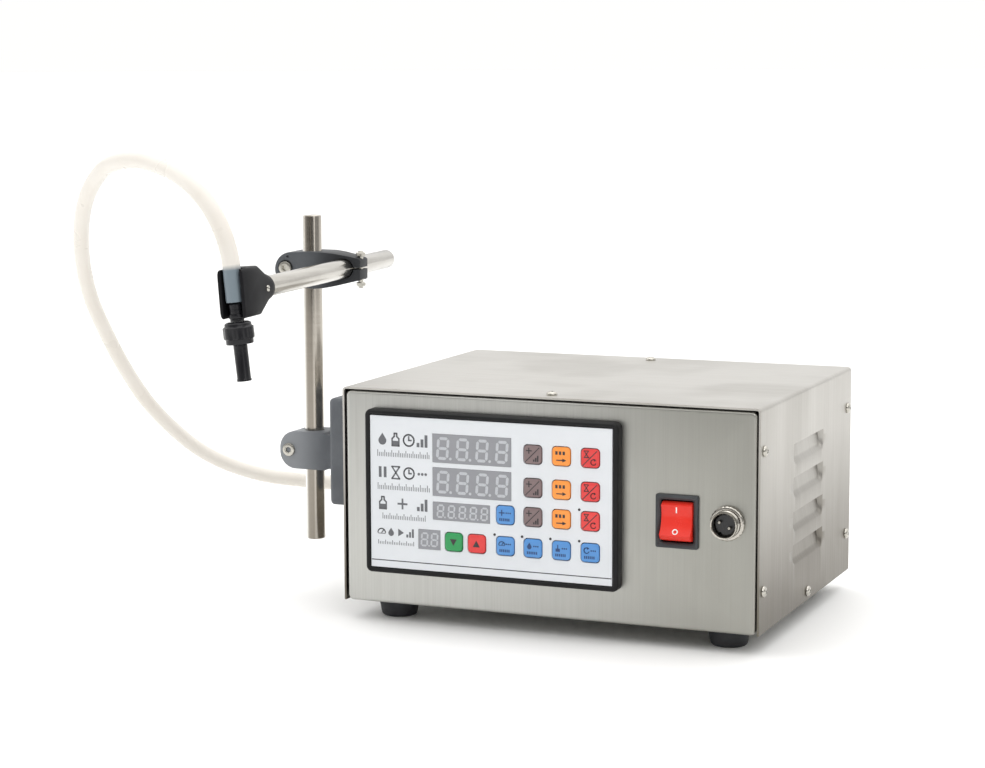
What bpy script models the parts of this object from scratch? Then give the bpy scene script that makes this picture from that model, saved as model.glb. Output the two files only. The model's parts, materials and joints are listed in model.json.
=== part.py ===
"""Bench-top piston liquid filler: a sheet-steel control box with a keypad panel, and a clamped stand for one nozzle.

Units are metres. +X runs along the front of the box, +Y to the back, +Z up from the bench.
Everything is placed from the box's front left corner on the bench (the BOX frame). The machine empty moves
that frame so that the world origin is under the middle of the whole object.
"""

import math

import bmesh
import bpy
from mathutils import Matrix, Vector

GAP = 0.0003          # air between solids that touch on the real machine

# control box
BOX_W, BOX_D, BOX_H = 0.260, 0.200, 0.130
FOOT_H = 0.012
SHEET = 0.0012        # steel sheet
BEND_R = 0.0018       # outside radius of the bends
TRAY_IN = 0.0020      # the tray's face is narrower than the cover by this much at each side and at the top
FLANGE = 0.012        # return flanges of the tray
BOX_TOP = FOOT_H + BOX_H
LOUVRE_Y = (0.068, 0.134)
LOUVRE_TOPS = [FOOT_H + z for z in (0.100, 0.080, 0.0595, 0.0395)]
LOUVRE_SLIT = 0.0016
FOOT_INSET = 0.025    # from the box's edges to the middle of each foot

# display and keypad panel
PANEL_X, PANEL_Z = (0.018, 0.178), (FOOT_H + 0.020, FOOT_H + 0.1185)
PANEL_PROUD = 0.008
PANEL_RIM = 0.0034
PANEL_POCKET = 0.0045     # from the box's front face out to the pocket's floor
PANEL_OPENING = 0.012     # the hole in the box behind the panel is smaller by this much all round
OVERLAY_THICK = 0.0018
OVERLAY_FACE = -0.0070
KEY_SIZE = (0.0110, 0.0018, 0.0108)
KEY_PROUD = 0.0007
KEY_TRAVEL = 0.0006
KEY_CORNER = 0.0012

# switch and signal socket
SWITCH_AT = (0.2114, FOOT_H + 0.0629)
SWITCH_W, SWITCH_H = 0.0255, 0.0310
ROCKER_W, ROCKER_R = 0.0186, 0.0119
ROCKER_AXIS_Y = 0.0010
ROCKER_TILT = math.radians(11)
SWITCH_BODY = (0.0109, 0.0137)   # half width and half height of the part behind the panel
SWITCH_HOLE_GAP = 0.0004
SOCKET_AT = (0.2415, FOOT_H + 0.0640)
SOCKET_R = 0.0079

# stand
ROD_R = 0.006
POST_X, POST_Y = -0.0546, 0.070
POST_Z = (FOOT_H + 0.021, FOOT_H + 0.2272)
EYE_Z = FOOT_H + 0.079
EYE_H = 0.024
ARM_OFFSET = 0.024    # from the post's axis to the cross arm's axis
ARM_YAW = math.radians(5.11)
ARM_Z = FOOT_H + 0.1946
ARM_Y = (-0.152, 0.069)
HOLDER_ROLL = math.radians(-4.2)
NOZZLE_ROLL = math.radians(-6.2)
NOZZLE_Y = -0.177     # along the arm, from the post
HOSE_END_Z = -0.0046  # on the nozzle's axis
BRACKET_SCREW_X = -0.0125            # from the post's axis
CLAMP_SCREW_X, CLAMP_BOLT_X = -0.0135, 0.0325

# liquid path
HOSE_R = 0.005
PORT_Z = 0.044
OUTLET_X, INLET_X = 0.060, 0.100
PUMP_X = (OUTLET_X + INLET_X) / 2
WOBBLE_Y = 0.118
WOBBLE_TILT = math.radians(4)
PISTON_PITCH_R = 0.0115
POWER_INLET_AT = (0.215, 0.095)
POWER_INLET_BODY = (0.0135, 0.0100)  # half width and half height of the part inside the box

# the object's extent without the hose, which centres it on the world origin
EXTENT_X = (-0.0761, 0.2600)
EXTENT_Y = (-0.1128, 0.2290)

COLOURS = {
    # slot: (red, green, blue, metallic, roughness), linear colour
    "brushed_steel": (0.52, 0.51, 0.48, 1.0, 0.34),
    "polished_steel": (0.62, 0.61, 0.58, 1.0, 0.18),
    "black_plastic": (0.022, 0.022, 0.024, 0.0, 0.38),
    "panel_film": (0.86, 0.87, 0.90, 0.0, 0.35),
    "display_window": (0.30, 0.31, 0.34, 0.0, 0.22),
    "key_brown": (0.19, 0.145, 0.14, 0.0, 0.4),
    "key_orange": (0.95, 0.34, 0.05, 0.0, 0.4),
    "key_red": (0.82, 0.05, 0.05, 0.0, 0.4),
    "key_blue": (0.10, 0.30, 0.66, 0.0, 0.4),
    "key_green": (0.03, 0.33, 0.10, 0.0, 0.4),
    "rocker_red": (0.85, 0.07, 0.05, 0.0, 0.25),
    "rubber": (0.035, 0.036, 0.04, 0.0, 0.7),
    "grey_polyamide": (0.13, 0.14, 0.155, 0.0, 0.5),
    "nozzle_plastic": (0.028, 0.028, 0.03, 0.0, 0.33),
    "silicone": (0.86, 0.80, 0.71, 0.0, 0.35),
    "zinc_screw": (0.60, 0.59, 0.56, 1.0, 0.28),
    "circuit_board": (0.02, 0.16, 0.06, 0.0, 0.5),
    "nylon_white": (0.78, 0.77, 0.74, 0.0, 0.5),
    "zinc_sheet": (0.45, 0.45, 0.46, 1.0, 0.45),
}


# ---------------------------------------------------------------- scene and helpers

for old in list(bpy.data.objects):
    bpy.data.objects.remove(old)

PARTS = bpy.data.collections.new("liquid_filler")
CUTTERS = bpy.data.collections.new("cutters")
for collection in (PARTS, CUTTERS):
    bpy.context.scene.collection.children.link(collection)


def material(slot):
    """The slot's Principled material, made once."""
    found = bpy.data.materials.get(slot)
    if found:
        return found
    made = bpy.data.materials.new(slot)
    made.use_nodes = True
    red, green, blue, metallic, roughness = COLOURS[slot]
    shader = made.node_tree.nodes["Principled BSDF"]
    shader.inputs["Base Color"].default_value = (red, green, blue, 1)
    shader.inputs["Metallic"].default_value = metallic
    shader.inputs["Roughness"].default_value = roughness
    return made


def empty(name, parent=None, at=(0, 0, 0), turn=(0, 0, 0)):
    """An empty that places what hangs from it."""
    made = bpy.data.objects.new(name, None)
    PARTS.objects.link(made)
    made.parent = parent
    made.location = at
    made.rotation_euler = turn
    return made


def add(name, mesh, slot, parent, at=(0, 0, 0), turn=(0, 0, 0)):
    """A named sub-part with its material, hung from an empty."""
    made = bpy.data.objects.new(name, mesh)
    PARTS.objects.link(made)
    made.parent = parent
    made.location = at
    made.rotation_euler = turn
    mesh.materials.append(material(slot))
    return made


def mesh_of(shape, name):
    """A mesh from a bmesh, which is freed."""
    made = bpy.data.meshes.new(name)
    shape.to_mesh(made)
    shape.free()
    return made


def smooth(obj, angle=35):
    """Shades a round piece smooth, with its real edges kept sharp."""
    obj.data.shade_smooth()
    obj.data.set_sharp_from_angle(angle=math.radians(angle))
    return obj


def block(low, high, corner=0.0, along="Y", segments=3, rim=0.0):
    """A bmesh box between two corners. Its four edges along one axis are rounded by corner,
    then its other edges are eased by rim."""
    shape = bmesh.new()
    bmesh.ops.create_cube(shape, size=1)
    low, high = Vector(low), Vector(high)
    size = high - low
    shape.transform(Matrix.Translation((low + high) / 2) @ Matrix.Diagonal((*size, 1)))
    axis = "XYZ".index(along)
    if corner:
        upright = [e for e in shape.edges if abs((e.verts[0].co - e.verts[1].co)[axis]) > size[axis] / 2]
        bmesh.ops.bevel(shape, geom=upright, offset=corner, segments=segments, profile=0.5, affect="EDGES")
    if rim:
        around = [e for e in shape.edges
                  if abs((e.verts[0].co - e.verts[1].co)[axis]) < 1e-7 and len(e.link_faces) == 2
                  and e.calc_face_angle(0) > math.radians(60)]
        bmesh.ops.bevel(shape, geom=around, offset=rim, segments=1, affect="EDGES")
    return shape


def rod(start, end, radius, sides=24, end_radius=None):
    """A bmesh cylinder or cone from one point to another."""
    start, end = Vector(start), Vector(end)
    shape = bmesh.new()
    bmesh.ops.create_cone(shape, cap_ends=True, segments=sides, radius1=radius,
                          radius2=radius if end_radius is None else end_radius, depth=(end - start).length)
    turn = (end - start).to_track_quat("Z", "Y").to_matrix().to_4x4()
    shape.transform(Matrix.Translation((start + end) / 2) @ turn)
    return shape


def merged(*shapes):
    """One mesh that holds several bmesh shapes, for a cutter."""
    whole = bpy.data.meshes.new("merged")
    total = bmesh.new()
    for shape in shapes:
        part = bpy.data.meshes.new("piece")
        shape.to_mesh(part)
        shape.free()
        total.from_mesh(part)
        bpy.data.meshes.remove(part)
    total.to_mesh(whole)
    total.free()
    return whole


def tool(obj, mesh, operation, place=None):
    """Cuts a shape out of a sub-part, or joins one to it, with a Boolean modifier."""
    cutter = bpy.data.objects.new(f"{obj.name}_tool", mesh)
    CUTTERS.objects.link(cutter)
    cutter.parent = place if place else obj.parent
    if not place:
        cutter.location = obj.location
        cutter.rotation_euler = obj.rotation_euler
    cutter.hide_render = True
    cutter.display_type = "WIRE"
    change = obj.modifiers.new(operation.lower(), "BOOLEAN")
    change.operation = operation
    change.solver = "EXACT"
    change.object = cutter
    return obj


def cut(obj, *shapes, place=None):
    return tool(obj, merged(*shapes), "DIFFERENCE", place)


def join(obj, *shapes, place=None):
    """Joins shapes that overlap the sub-part but not each other."""
    return tool(obj, merged(*shapes), "UNION", place)


def turned(name, profile, slot, parent, at=(0, 0, 0), turn=(0, 0, 0), steps=24):
    """A turned sub-part. The profile is (radius, height) points, down its outer side from the top."""
    shape = bmesh.new()
    points = [shape.verts.new((radius, 0, height)) for radius, height in profile]
    for one, other in zip(points, points[1:]):
        shape.edges.new((one, other))
    if profile[0][0] or profile[-1][0]:
        shape.edges.new((points[-1], points[0]))
    made = add(name, mesh_of(shape, name), slot, parent, at, turn)
    spin = made.modifiers.new("turn", "SCREW")
    spin.axis = "Z"
    spin.steps = spin.render_steps = steps
    spin.use_merge_vertices = True
    spin.merge_threshold = 0.00001
    spin.use_smooth_shade = True
    return made


def outline(name, points, thickness, slot, parent, at=(0, 0, 0), turn=(0, 0, 0)):
    """A flat outline with round stretches already in its points, extruded along its own Z and centred on it."""
    line = bpy.data.curves.new(name, "CURVE")
    line.dimensions = "2D"
    line.fill_mode = "BOTH"
    line.extrude = thickness / 2
    spline = line.splines.new("POLY")
    spline.points.add(len(points) - 1)
    for point, (x, y) in zip(spline.points, points):
        point.co = (x, y, 0, 1)
    spline.use_cyclic_u = True
    drawn = bpy.data.objects.new(name + "_curve", line)
    CUTTERS.objects.link(drawn)
    bpy.context.view_layer.update()
    mesh = bpy.data.meshes.new_from_object(drawn.evaluated_get(bpy.context.evaluated_depsgraph_get()))
    bpy.data.objects.remove(drawn)
    shape = bmesh.new()
    shape.from_mesh(mesh)
    bmesh.ops.remove_doubles(shape, verts=shape.verts, dist=1e-6)
    bmesh.ops.recalc_face_normals(shape, faces=shape.faces)
    shape.to_mesh(mesh)
    shape.free()
    mesh.materials.clear()
    return add(name, mesh, slot, parent, at, turn)


def arc(centre, radius, first, last, count):
    """Points of an arc, with its angles in degrees."""
    steps = [math.radians(first + (last - first) * i / (count - 1)) for i in range(count)]
    return [(centre[0] + radius * math.cos(a), centre[1] + radius * math.sin(a)) for a in steps]


UPRIGHT = (math.radians(90), 0, 0)     # an outline in XY stands up in the XZ plane, and its depth runs along -Y
BACKWARD = (math.radians(-90), 0, 0)   # a turned shape's own +Z points to the back
FORWARD = (math.radians(90), 0, 0)     # a turned shape's own +Z points to the front

machine = empty("machine", at=(-sum(EXTENT_X) / 2, -sum(EXTENT_Y) / 2, 0))


# ---------------------------------------------------------------- control box

def chassis_tray():
    """Front, floor and back of the box, with return flanges that the cover screws to."""
    low = (TRAY_IN, 0, FOOT_H)
    high = (BOX_W - TRAY_IN, BOX_D, BOX_TOP - TRAY_IN)
    tray = add("chassis_tray", mesh_of(block(low, high, BEND_R, "X", 2), "chassis_tray"), "brushed_steel", machine)
    inside = block([v + SHEET for v in low], [v - SHEET for v in high])
    cut(tray, inside)
    edge = FLANGE + SHEET
    side_window = block((-0.01, edge, FOOT_H + edge), (BOX_W + 0.01, BOX_D - edge, BOX_TOP + 0.01))
    cut(tray, side_window)
    top_window = block((TRAY_IN + edge, edge, BOX_TOP - 0.02),
                       (BOX_W - TRAY_IN - edge, BOX_D - edge, BOX_TOP + 0.02))
    cut(tray, top_window)
    (switch_x, switch_z), (socket_x, socket_z) = SWITCH_AT, SOCKET_AT
    hole_w, hole_h = (v + SWITCH_HOLE_GAP for v in SWITCH_BODY)
    front = [
        block((PANEL_X[0] + PANEL_OPENING, -0.01, PANEL_Z[0] + PANEL_OPENING),
              (PANEL_X[1] - PANEL_OPENING, 0.01, PANEL_Z[1] - PANEL_OPENING)),
        block((switch_x - hole_w, -0.01, switch_z - hole_h), (switch_x + hole_w, 0.01, switch_z + hole_h)),
        rod((socket_x, -0.01, socket_z), (socket_x, 0.01, socket_z), SOCKET_R + GAP),
    ]
    back = [rod((x, BOX_D - 0.01, PORT_Z), (x, BOX_D + 0.01, PORT_Z), 0.0058) for x in (OUTLET_X, INLET_X)]
    inlet_x, inlet_z = POWER_INLET_AT
    inlet_w, inlet_h = (v + 0.0004 for v in POWER_INLET_BODY)
    back.append(block((inlet_x - inlet_w, BOX_D - 0.01, inlet_z - inlet_h),
                      (inlet_x + inlet_w, BOX_D + 0.01, inlet_z + inlet_h)))
    cut(tray, *front, *back)
    return tray


def top_cover():
    """Top and two sides in one bent sheet, with four louvre slots in the right side."""
    low, high = (0, 0, FOOT_H), (BOX_W, BOX_D, BOX_TOP)
    shape = bmesh.new()
    bmesh.ops.create_cube(shape, size=1)
    size = Vector(high) - Vector(low)
    shape.transform(Matrix.Translation((Vector(low) + Vector(high)) / 2) @ Matrix.Diagonal((*size, 1)))
    bends = [e for e in shape.edges if all(v.co.z > BOX_TOP - 1e-6 for v in e.verts)
             and abs(e.verts[0].co.y - e.verts[1].co.y) > BOX_D / 2]
    bmesh.ops.bevel(shape, geom=bends, offset=0.0025, segments=3, profile=0.5, affect="EDGES")
    cover = add("top_cover", mesh_of(shape, "top_cover"), "brushed_steel", machine)
    cut(cover, block((SHEET, -0.01, 0), (BOX_W - SHEET, BOX_D + 0.01, BOX_TOP - SHEET), 0.0013, "Y", 2))
    slots = [block((BOX_W - 0.01, LOUVRE_Y[0], top - LOUVRE_SLIT), (BOX_W + 0.01, LOUVRE_Y[1], top))
             for top in LOUVRE_TOPS]
    cut(cover, *slots)
    return cover


def feet():
    """Four rubber feet, tapered towards the bench."""
    profile = [(0, FOOT_H - GAP), (0.0120, FOOT_H - GAP), (0.0122, 0.0085), (0.0104, 0.0008), (0.0098, 0), (0, 0)]
    for side, x in (("left", FOOT_INSET), ("right", BOX_W - FOOT_INSET)):
        for end, y in (("front", FOOT_INSET), ("back", BOX_D - FOOT_INSET)):
            turned(f"foot_{end}_{side}", profile, "rubber", machine, (x, y, 0))


chassis_tray()
top_cover()
feet()


# ---------------------------------------------------------------- panel

KEY_COLUMNS = (0.1256, 0.1433, 0.1611)
KEY_ROWS = [FOOT_H + z for z in (0.0973, 0.0777, 0.0605)]
KEY_BASE_ROW = FOOT_H + 0.0421
KEYS = {"key_count_set": ("key_blue", 0.1083, KEY_ROWS[2]),
        "key_speed_down": ("key_green", 0.0755, KEY_BASE_ROW),
        "key_speed_up": ("key_red", 0.0902, KEY_BASE_ROW)}
for row, z in enumerate(KEY_ROWS, 1):
    for kind, slot, x in zip(("digit", "shift", "cancel"), ("key_brown", "key_orange", "key_red"), KEY_COLUMNS):
        KEYS[f"key_{kind}_{row}"] = (slot, x, z)
for number, x in enumerate((0.1083, *KEY_COLUMNS), 1):
    KEYS[f"key_mode_{number}"] = ("key_blue", x, KEY_BASE_ROW)

DISPLAYS = {"display_fill_time": ((0.062, 0.112), (FOOT_H + 0.089, FOOT_H + 0.106)),
            "display_wait_time": ((0.062, 0.112), (FOOT_H + 0.069, FOOT_H + 0.086)),
            "display_count": ((0.062, 0.0985), (FOOT_H + 0.0547, FOOT_H + 0.0654)),
            "display_speed": ((0.0525, 0.0667), (FOOT_H + 0.0365, FOOT_H + 0.0483))}


def panel():
    """Black frame with a floor, the printed film on it, the display windows and the keys."""
    (left, right), (bottom, top) = PANEL_X, PANEL_Z
    frame = block((left, -PANEL_PROUD, bottom), (right, -GAP, top), 0.0035, "Y", 3, rim=0.0008)
    bezel = add("panel_bezel", mesh_of(frame, "panel_bezel"), "black_plastic", machine)
    inner = (left + PANEL_RIM, bottom + PANEL_RIM, right - PANEL_RIM, top - PANEL_RIM)
    cut(bezel, block((inner[0], -0.02, inner[1]), (inner[2], -PANEL_POCKET, inner[3])))
    film = block((inner[0] + GAP, OVERLAY_FACE, inner[1] + GAP),
                 (inner[2] - GAP, OVERLAY_FACE + OVERLAY_THICK, inner[3] - GAP))
    overlay = add("panel_overlay", mesh_of(film, "panel_overlay"), "panel_film", machine)
    half_w, half_h = KEY_SIZE[0] / 2 + GAP, KEY_SIZE[2] / 2 + GAP
    holes = [block((x - half_w, -0.02, z - half_h), (x + half_w, 0.02, z + half_h), KEY_CORNER, "Y", 2)
             for _, x, z in KEYS.values()]
    holes += [block((x0 - GAP, -0.02, z0 - GAP), (x1 + GAP, 0.02, z1 + GAP))
              for (x0, x1), (z0, z1) in DISPLAYS.values()]
    cut(overlay, *holes)
    for name, ((x0, x1), (z0, z1)) in DISPLAYS.items():
        pane = block((x0, OVERLAY_FACE - 0.0001, z0), (x1, -PANEL_POCKET - GAP, z1))
        add(name, mesh_of(pane, name), "display_window", machine)
    for name, (slot, x, z) in KEYS.items():
        shape = block([-v / 2 for v in KEY_SIZE], [v / 2 for v in KEY_SIZE], KEY_CORNER, "Y", 2)
        middle = OVERLAY_FACE - KEY_PROUD + KEY_SIZE[1] / 2
        add(name, mesh_of(shape, name), slot, machine, (x, middle, z))


def rocker_switch():
    """Snap-in switch body with a two-sided rocker, stored with its upper half pressed."""
    x, z = SWITCH_AT
    half_w, half_h = SWITCH_W / 2, SWITCH_H / 2
    body = add("switch_bezel", mesh_of(block((x - half_w, -0.0022, z - half_h), (x + half_w, -GAP, z + half_h),
                                             0.001, "Y", 2), "switch_bezel"), "black_plastic", machine)
    body_w, body_h = SWITCH_BODY
    join(body, block((x - body_w, -0.0010, z - body_h), (x + body_w, 0.0140, z + body_h)))
    well_w, well_h = ROCKER_W / 2 + 0.0004, ROCKER_R + 0.0004
    cut(body, block((x - well_w, -0.02, z - well_h), (x + well_w, 0.0105, z + well_h)))
    axis = empty("rocker_axis", machine, (x, ROCKER_AXIS_Y, z), (-ROCKER_TILT, 0, 0))
    # the outline's x is height and its y is depth towards the front
    face, valley, rear = 0.0054, 0.0032, -0.0050
    end_angle, rear_angle = (math.degrees(math.asin(v / ROCKER_R)) for v in (face, rear))
    side = arc((0, 0), ROCKER_R, rear_angle, end_angle, 6)
    points = [*side, (0.0012, valley), (-0.0012, valley), *[(-a, b) for a, b in reversed(side)]]
    turn = Matrix(((0, 0, 1), (0, -1, 0), (1, 0, 0))).to_euler()
    outline("switch_rocker", points, ROCKER_W, "rocker_red", axis, turn=turn)


def signal_socket():
    """Round two-pole panel socket: ribbed ring, shell and insulator."""
    x, z = SOCKET_AT
    shell = add("socket_shell", mesh_of(rod((x, -0.0100, z), (x, 0.0110, z), SOCKET_R, 28), "socket_shell"),
                "polished_steel", machine)
    cut(shell, rod((x, -0.02, z), (x, -0.0020, z), 0.0066, 28))
    smooth(shell)
    disc = rod((x, -0.0052, z), (x, -0.0023, z), 0.0063, 24)
    smooth(add("socket_insulator", mesh_of(disc, "socket_insulator"), "black_plastic", machine))
    ring = add("socket_nut", mesh_of(rod((x, -0.0032, z), (x, -GAP, z), 0.0098, 28), "socket_nut"),
               "polished_steel", machine)
    cut(ring, rod((x, -0.02, z), (x, 0.02, z), SOCKET_R + GAP, 28))
    smooth(ring)


panel()
rocker_switch()
signal_socket()


# ---------------------------------------------------------------- stand

def cap_screw(name, at, shank, turn, parent, head_r=0.00425, head_h=0.0050, shank_r=0.0024):
    """Socket-head screw. Its own origin is under the head, and its shank runs down its own -Z."""
    profile = [(0, head_h * 0.45), (0.0018, head_h * 0.45), (0.0020, head_h), (head_r - 0.0004, head_h),
               (head_r, head_h - 0.0004), (head_r, 0), (shank_r, 0), (shank_r, -shank), (0, -shank)]
    return turned(name, profile, "zinc_screw", parent, at, turn, 18)


def stand_bracket():
    """Moulded bracket on the box's left side, with a split eye that clamps the post."""
    eye_x, pad_x = -0.0735, -0.0335
    eye_half = EYE_H / 2
    pad = block((pad_x, POST_Y - 0.0225, EYE_Z - 0.0315), (-GAP, POST_Y + 0.0225, EYE_Z + 0.0360))
    edges = [e for e in pad.edges if all(v.co.x < pad_x + 1e-6 for v in e.verts)]
    bmesh.ops.bevel(pad, geom=edges, offset=0.0030, segments=2, profile=0.6, affect="EDGES")
    bracket = add("stand_bracket", mesh_of(pad, "stand_bracket"), "grey_polyamide", machine)
    lug = block((eye_x, POST_Y - 0.0115, EYE_Z - eye_half), (pad_x + 0.01, POST_Y + 0.0115, EYE_Z + eye_half))
    ends = [e for e in lug.edges if all(v.co.x < eye_x + 1e-6 for v in e.verts)
            and abs(e.verts[0].co.y - e.verts[1].co.y) > 0.01]
    bmesh.ops.bevel(lug, geom=ends, offset=0.0108, segments=5, profile=0.5, affect="EDGES")
    join(bracket, lug)
    screw_x = POST_X + BRACKET_SCREW_X
    cut(bracket, rod((POST_X, POST_Y, 0), (POST_X, POST_Y, 0.3), ROD_R + GAP, 28))
    cut(bracket, block((eye_x - 0.01, POST_Y - 0.0006, EYE_Z - 0.02), (POST_X, POST_Y + 0.0006, EYE_Z + 0.02)))
    cut(bracket, rod((screw_x, POST_Y - 0.03, EYE_Z), (screw_x, POST_Y + 0.03, EYE_Z), 0.0027, 16))
    cap_screw("bracket_screw", (screw_x, POST_Y - 0.0115 - GAP, EYE_Z), 0.0215, FORWARD, machine)


def post():
    """Upright rod, on its own axis."""
    low, high = POST_Z
    shape = rod((0, 0, low), (0, 0, high), ROD_R, 28)
    rims = [e for e in shape.edges if abs(e.verts[0].co.z - e.verts[1].co.z) < 1e-6]
    bmesh.ops.bevel(shape, geom=rims, offset=0.0005, segments=1, affect="EDGES")
    smooth(add("stand_post", mesh_of(shape, "stand_post"), "polished_steel", post_axis))


def cross_clamp():
    """Moulded clamp. Its left end is split upright around the post, and its right end is split flat around the arm."""
    ends = arc((-0.0095, -0.0010), 0.0110, 100, 260, 9)
    points = [*ends, (0.0120, -0.0125), (0.0345, -0.0072), (0.0345, 0.0060), (0.0120, 0.0100)]
    body = outline("cross_clamp", points, 0.0240, "grey_polyamide", arm_axis_at_post, (0, 0, ARM_Z), UPRIGHT)
    reach = 0.05
    for side in (-1, 1):
        # the body narrows in plan towards its right end
        wedge = bmesh.new()
        bmesh.ops.create_cube(wedge, size=1)
        wedge.transform(Matrix.Translation((0.0130, 0, side * 0.0120))
                        @ Matrix.Rotation(side * math.radians(14), 4, "Y")
                        @ Matrix.Translation((reach / 2, 0, side * reach / 2))
                        @ Matrix.Diagonal((reach, 0.1, reach, 1)))
        cut(body, wedge)
    slits = (block((-0.04, -0.04, -0.0006), (0, 0.04, 0.0006)),
             block((ARM_OFFSET, -0.0006, -0.04), (0.05, 0.0006, 0.04)))
    cut(body, rod((0, -0.04, 0), (0, 0.04, 0), ROD_R + GAP, 28))
    cut(body, rod((ARM_OFFSET, 0, -0.04), (ARM_OFFSET, 0, 0.04), ROD_R + GAP, 28))
    cut(body, *slits)
    cut(body, rod((CLAMP_SCREW_X, 0, -0.04), (CLAMP_SCREW_X, 0, 0.04), 0.0027, 16))
    cut(body, rod((CLAMP_BOLT_X, -0.04, 0), (CLAMP_BOLT_X, 0.04, 0), 0.0019, 16))
    cap_screw("clamp_post_screw", (CLAMP_SCREW_X, -0.0120 - GAP, ARM_Z), 0.0220, FORWARD, arm_axis_at_post)
    bolt = [(0, 0.0108), (0.0016, 0.0108), (0.0016, -0.0125), (0, -0.0125)]
    made = turned("clamp_arm_bolt", bolt, "zinc_screw", arm_axis_at_post, (CLAMP_BOLT_X, 0, ARM_Z), steps=16)
    join(made, rod((0, 0, 0.0074), (0, 0, 0.0098), 0.0031, 6), rod((0, 0, -0.0112), (0, 0, -0.0090), 0.0031, 6))


def cross_arm():
    """Horizontal rod, on its own axis."""
    shape = rod((0, ARM_Y[0], 0), (0, ARM_Y[1], 0), ROD_R, 28)
    rims = [e for e in shape.edges if abs(e.verts[0].co.y - e.verts[1].co.y) < 1e-6]
    bmesh.ops.bevel(shape, geom=rims, offset=0.0005, segments=1, affect="EDGES")
    smooth(add("cross_arm", mesh_of(shape, "cross_arm"), "polished_steel", arm_axis))


def nozzle_holder():
    """Channel-shaped holder on the arm's front end. Its neck tapers from the block to a round rim."""
    front, block_back, rim_y = -0.1810, -0.1575, -0.1370
    half_w, half_h, rim_r = 0.0078, 0.0140, 0.0080
    sides = 24
    shape = bmesh.new()
    rings = []
    for y, width, height, power in ((front, half_w, half_h, 9), (block_back, half_w, half_h, 9),
                                    (rim_y - 0.003, rim_r, rim_r, 2), (rim_y, rim_r, rim_r, 2)):
        ring = []
        for i in range(sides):
            a = 2 * math.pi * (i + 0.5) / sides
            reach = (abs(math.cos(a)) ** power + abs(math.sin(a)) ** power) ** (-1 / power)
            ring.append(shape.verts.new((width * reach * math.cos(a), y, height * reach * math.sin(a))))
        rings.append(ring)
    for one, other in zip(rings, rings[1:]):
        for i in range(sides):
            shape.faces.new((one[i], one[(i + 1) % sides], other[(i + 1) % sides], other[i]))
    shape.faces.new(rings[0])
    shape.faces.new(rings[-1])
    bmesh.ops.recalc_face_normals(shape, faces=shape.faces)
    holder = add("nozzle_holder", mesh_of(shape, "nozzle_holder"), "black_plastic", holder_axis)
    cut(holder, block((-0.0058, front - 0.01, -0.05), (0.0058, -0.1712, 0.05)))
    cut(holder, rod((0, ARM_Y[0] - 0.001, 0), (0, 0, 0), ROD_R + GAP, 28))
    cut(holder, rod((0.0062, -0.1475, 0), (0.02, -0.1475, 0), 0.0028, 14))
    screw = [(0, 0.0010), (0.0012, 0.0010), (0.0013, 0.0018), (0.0024, 0.0018), (0.0025, 0), (0, 0)]
    turned("holder_screw", screw, "zinc_screw", holder_axis, (0.0066, -0.1475, 0), (0, math.radians(90), 0), 14)


def nozzle():
    """Barbed body under the hose, the ribbed nut and the spout, all on the nozzle's own axis."""
    barb = [(0, HOSE_END_Z - GAP), (0.0030, HOSE_END_Z - GAP), (0.0039, HOSE_END_Z - 0.0012), (0.0039, -0.0112),
            (0.0046, -0.0116), (0.0046, -0.0136), (0.0040, -0.0140), (0.0040, -0.0154), (0, -0.0154)]
    turned("nozzle_body", barb, "nozzle_plastic", nozzle_axis)
    nut = [(0, -0.0157), (0.0064, -0.0157), (0.0076, -0.0166), (0.0076, -0.0180), (0.0088, -0.0186),
           (0.0088, -0.0250), (0.0078, -0.0257), (0.0078, -0.0279), (0.0074, -0.0283), (0, -0.0283)]
    turned("nozzle_nut", nut, "nozzle_plastic", nozzle_axis)
    spout = [(0, -0.0286), (0.0040, -0.0286), (0.0039, -0.0479), (0.0042, -0.0482), (0.0042, -0.0492),
             (0.0026, -0.0492), (0.0026, -0.0420), (0, -0.0420)]
    turned("nozzle_spout", spout, "nozzle_plastic", nozzle_axis)


post_axis = empty("post_axis", machine, (POST_X, POST_Y, 0))
arm_axis_at_post = empty("clamp_axis", post_axis, turn=(0, 0, ARM_YAW))
arm_axis = empty("arm_axis", arm_axis_at_post, (ARM_OFFSET, 0, ARM_Z))
holder_axis = empty("holder_axis", arm_axis, turn=(0, HOLDER_ROLL, 0))
nozzle_axis = empty("nozzle_axis", arm_axis, (0, NOZZLE_Y, 0), (0, NOZZLE_ROLL, 0))

stand_bracket()
post()
cross_clamp()
cross_arm()
nozzle_holder()
nozzle()


# ---------------------------------------------------------------- liquid path

def ports():
    """Outlet elbow and inlet barb on the back, and the power inlet."""
    barb = [(0, 0.0250), (0.0026, 0.0250), (0.0036, 0.0215), (0.0030, 0.0213), (0.0038, 0.0175), (0.0032, 0.0172),
            (0.0040, 0.0134), (0.0034, 0.0132), (0.0034, 0.0066), (0.0085, 0.0066), (0.0085, GAP), (0.0055, GAP),
            (0.0055, -0.0120), (0.0030, -0.0123), (0.0030, -0.0170), (0, -0.0170)]
    turned("inlet_barb", barb, "nylon_white", machine, (INLET_X, BOX_D, PORT_Z), BACKWARD, 20)
    elbow = [(0, 0.0290), (0.0050, 0.0290), (0.0060, 0.0280), (0.0060, 0.0066), (0.0085, 0.0066), (0.0085, GAP),
             (0.0055, GAP), (0.0055, -0.0120), (0.0030, -0.0123), (0.0030, -0.0170), (0, -0.0170)]
    body = turned("outlet_elbow", elbow, "nylon_white", machine, (OUTLET_X, BOX_D, PORT_Z), BACKWARD, 20)
    start, middle = Vector(ROUTE[0]), Vector((OUTLET_X, ROUTE[0][1], PORT_Z))
    join(body, rod(middle, start + Vector((GAP, 0, 0)), 0.0040, 18), place=machine)


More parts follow.
